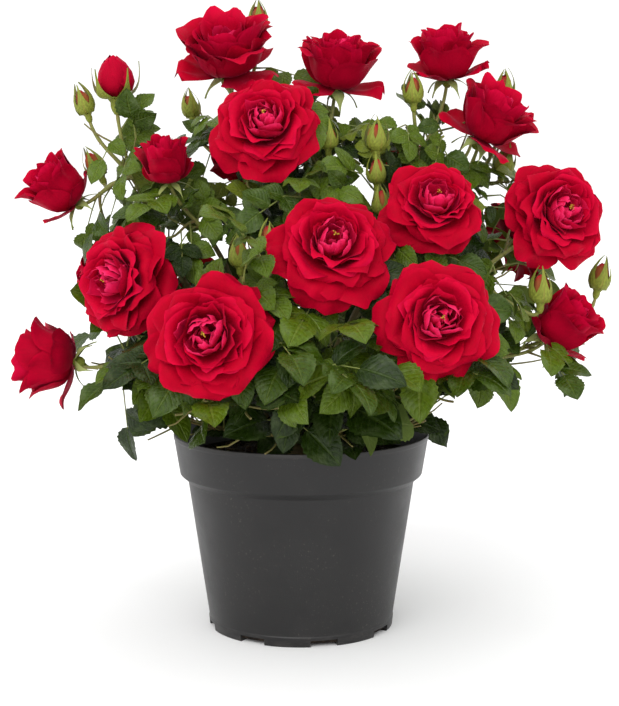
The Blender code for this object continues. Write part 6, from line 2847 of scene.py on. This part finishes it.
@dataclass
class Compost:
    """The peat compost: a heaped body with a crumbled top, and loose crumbs on it.

    Attributes:
        steps: Faces round it.
        rings: Rings across its top.
        relief: How deep the top's relief is.
        crumbs: How many crumbs lie on it.
        crumb: The range of a crumb's radius.
        fine: How much commoner small crumbs are.
        fibrous: The share of crumbs that are paler fibre.
        strewn: The shares of the top's area between which crumbs lie, and how far from its edge they stop.
        lumpy: How unround a crumb is, and how coarse its lumps are.
        rolled: How far a crumb may be rolled over, in radians.
    """

    steps: int = 120
    rings: int = 44
    relief: float = 0.0018
    crumbs: int = 620
    crumb: Pair = (0.0007, 0.0026)
    fine: float = 2.5
    fibrous: float = 0.25
    strewn: tuple[float, float, float] = (0.06, 1.0, 0.003)
    lumpy: Pair = (0.45, 1.3)
    rolled: float = 6.28

    @staticmethod
    def rim() -> Pair:
        """The compost's edge against the pot's wall.

        Returns:
            Its radius and height.
        """
        _, _, ledge, lip = wall_inside(GAP)
        share = (COMPOST_TOP - ledge[1]) / (lip[1] - ledge[1])
        return between((ledge[0], lip[0]), share), COMPOST_TOP

    def height(self, x: float, y: float) -> float:
        """The height of the crumbled top.

        Args:
            x: How far to the side.
            y: How far to the back.

        Returns:
            The height there.
        """
        share = min(math.hypot(x, y) / self.rim()[0], 1.0)
        smooth = COMPOST_TOP + COMPOST_HEAP * (0.5 + 0.5 * math.cos(math.pi * share))
        place = Vector((x, y, 0.0))
        lumps = noise.fractal(place * 150, 0.8, 2.1, 5) * 0.7 + noise.fractal(place * 40, 1.0, 2.0, 2) * 0.5
        return smooth + self.relief * lumps

    def build(self) -> None:
        """Builds the body and the crumbs."""
        self.build_bed()
        self.build_crumbs()

    def build_bed(self) -> None:
        """Turns the body and crumbles its top."""
        floor, shoulder, ledge, _ = wall_inside(GAP)
        edge = self.rim()
        profile = [(0.0, floor[1]), floor, shoulder, ledge, edge]
        profile += [(edge[0] * (1 - k / self.rings), COMPOST_TOP) for k in range(1, self.rings + 1)]
        bm = bmesh.new()
        spin_profile(bm, profile, self.steps)
        for vert in bm.verts:
            if vert.co.z > COMPOST_TOP - 1e-5 and vert.co.xy.length < edge[0] - 1e-4:
                vert.co.z = self.height(vert.co.x, vert.co.y)
        enrol(add_piece(mesh_of(bm, "compost_bed"), [self.peat()], 60), ["compost"])

    def build_crumbs(self) -> None:
        """Strews crumbs over the top."""
        ball = bmesh.new()
        ball.loops.layers.uv.verify()
        bmesh.ops.create_icosphere(ball, subdivisions=2, radius=1.0, calc_uvs=True)
        form = Form.of(ball)
        form.points *= 1 + self.lumpy[0] * rough(form.points, self.lumpy[1])
        piece = Joined(2, two_sided=False)
        dice = random.Random(f"{SEED} crumbs")
        inner, outer, margin = self.strewn
        for _ in range(self.crumbs):
            size = between(self.crumb, dice.random() ** self.fine)
            reach = (self.rim()[0] - margin) * math.sqrt(dice.uniform(inner, outer))
            turn = any_turn(dice)
            x, y = reach * math.cos(turn), reach * math.sin(turn)
            roll = dice.uniform(0, self.rolled)
            axis = Vector((dice.random(), dice.random(), dice.random() + 0.1))
            frame = Matrix.Translation((x, y, self.height(x, y) + size * 0.2))
            frame @= Matrix.Rotation(roll, 4, axis)
            broad, tall = size * dice.uniform(0.6, 1.0), size * dice.uniform(0.5, 0.9)
            frame @= Matrix.Diagonal((size, broad, tall, 1.0))
            piece.add(form, form.moved(frame), int(dice.random() < self.fibrous))
        crumbs = [self.crumb_finish("peat_crumb", (0.020, 0.013, 0.008), (0.045, 0.030, 0.019)),
                  self.crumb_finish("fibre_crumb", (0.060, 0.038, 0.020), (0.120, 0.080, 0.045))]
        enrol(piece.build("compost_crumbs", crumbs, 60), ["compost"])

    @staticmethod
    def peat() -> Material:
        """Near-black damp peat with paler fibres.

        Returns:
            The material.
        """
        material, graph, shader = new_material("peat", 0.2)
        place = graph.place()
        lumps = graph.noise(place, 190.0, 6.0, 0.7)
        fibres = graph.noise(graph.scaled(place, (1.0, 3.5, 1.0)), 420.0, 3.0, 0.6)
        dark = graph.mix(graph.span(lumps, 0.38, 0.66), (0.008, 0.006, 0.005), (0.036, 0.025, 0.017))
        colour = graph.mix(graph.span(fibres, 0.66, 0.74, 0.0, 0.6), dark, (0.110, 0.075, 0.045))
        coat(graph, shader, colour, graph.span(lumps, 0.3, 0.7, 0.95, 0.82),
             graph.plus(lumps, graph.times(fibres, 0.3)), (0.8, 0.001))
        return material

    @staticmethod
    def crumb_finish(name: str, dark: Colour, pale: Colour) -> Material:
        """A crumb's finish, cloudy over its own map.

        Args:
            name: The material's name.
            dark: Its darker colour.
            pale: Its paler colour.

        Returns:
            The material.
        """
        material, graph, shader = new_material(name, 0.2)
        cloud = graph.noise(graph.joined(*blade_place(graph, 2.0)), 14.0, 4.0, 0.65)
        coat(graph, shader, graph.mix(graph.span(cloud, 0.35, 0.68), dark, pale),
             graph.span(cloud, 0.3, 0.7, 0.95, 0.82), cloud, (0.6, 0.0006))
        return material


# ---- studio ----
@dataclass(frozen=True)
class Studio:
    """A pale floor in white light with two broad soft lamps, and the camera.

    Attributes:
        floor_radius: How far the floor reaches.
        camera_at: Where the camera stands.
        pitch: How far it looks down, in degrees.
        lens: Its focal length, in millimetres.
        shift: How far the frame is shifted aside.
        tent: How bright the white light all round is.
        front: How much of it comes from behind the camera, higher than the horizon's band.
        lamps: Each lamp's strength, its width in degrees, and how far it leans from overhead to the front and
            to the side, in degrees.
    """

    floor_radius: float = 9.0
    camera_at: tuple[float, float, float] = tuple(VIEWPOINT)
    pitch: float = 7.0
    lens: float = 85.05
    shift: float = 0.0119
    tent: float = 1.15
    front: float = 0.42
    lamps: tuple[tuple[float, float, float, float], ...] = ((1.7, 50.0, 50.0, -26.0), (0.8, 70.0, 62.0, 34.0))

    def build(self) -> None:
        """Sets up the floor, the light and the camera."""
        self.lay_floor()
        self.light()
        lens = bpy.data.cameras.new("camera")
        lens.lens = self.lens
        lens.shift_x = self.shift
        camera = self.place("camera", lens, math.radians(90 - self.pitch), 0.0)
        camera.location = self.camera_at
        bpy.context.scene.camera = camera

    @staticmethod
    def place(name: str, data: object, pitch: float, roll: float) -> Object:
        """Puts something into the scene.

        Args:
            name: Its name.
            data: Its mesh, lamp or camera.
            pitch: Its turn about X.
            roll: Its turn about Y.

        Returns:
            The new object.
        """
        thing = bpy.data.objects.new(name, data)
        thing.rotation_euler = (pitch, roll, 0.0)
        bpy.context.scene.collection.objects.link(thing)
        return thing

    def lay_floor(self) -> None:
        """The pale floor."""
        bm = bmesh.new()
        bmesh.ops.create_circle(bm, cap_ends=True, segments=96, radius=self.floor_radius)
        material, graph, shader = new_material("studio_floor", 0.1)
        shade = graph.mix(graph.noise(graph.place(), 3.0), (0.96, 0.96, 0.96), (0.98, 0.98, 0.98))
        graph.feed_all(shader.inputs, Base_Color=shade, Roughness=0.9)
        floor = self.place("studio_floor", mesh_of(bm, "studio_floor"), 0.0, 0.0)
        floor.data.materials.append(material)

    def light(self) -> None:
        """The white light all round, dimmer from behind the camera, and the lamps."""
        world = bpy.data.worlds.new("studio")
        world.use_nodes = True
        sky = Graph(world.node_tree)
        _, back, up = sky.split(sky.place("Generated"))
        dim = sky.times(sky.span(back, -0.95, 0.15, 1.0, 0.0), sky.span(up, 0.08, 0.30))
        strength = sky.span(dim, 0.0, 1.0, self.tent, self.tent * self.front)
        sky.feed_all(world.node_tree.nodes["Background"].inputs, Color=(1.0, 1.0, 1.0), Strength=strength)
        bpy.context.scene.world = world
        bpy.context.scene.view_settings.view_transform = "Standard"
        for index, (power, width, ahead, aside) in enumerate(self.lamps):
            lamp = bpy.data.lights.new(f"soft_lamp_{index}", "SUN")
            lamp.energy = power
            lamp.angle = math.radians(width)
            self.place(lamp.name, lamp, math.radians(ahead), math.radians(aside))


def main() -> None:
    """Builds the dressed plant and its studio."""
    logging.basicConfig(level=logging.INFO, format="%(message)s")
    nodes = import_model()["nodes"]
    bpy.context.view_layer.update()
    growth = Growth()
    growth.claim(nodes, ("pot", "compost", "stem"))
    growth.grow_wood()
    growth.grow_leaves()
    veins, skin = leaf_pattern(), wood_pattern()
    Foliage().build(growth, veins)
    blossom = Blossom()
    blossom.build_petals(petal_pattern())
    blossom.build_sepals(veins)
    blossom.build_stamens(veins)
    timber = Timber()
    timber.build_limbs(growth, skin)
    timber.build_twigs(growth, skin)
    Pot().build()
    Compost().build()
    Studio().build()


if __name__ == "__main__":
    main()
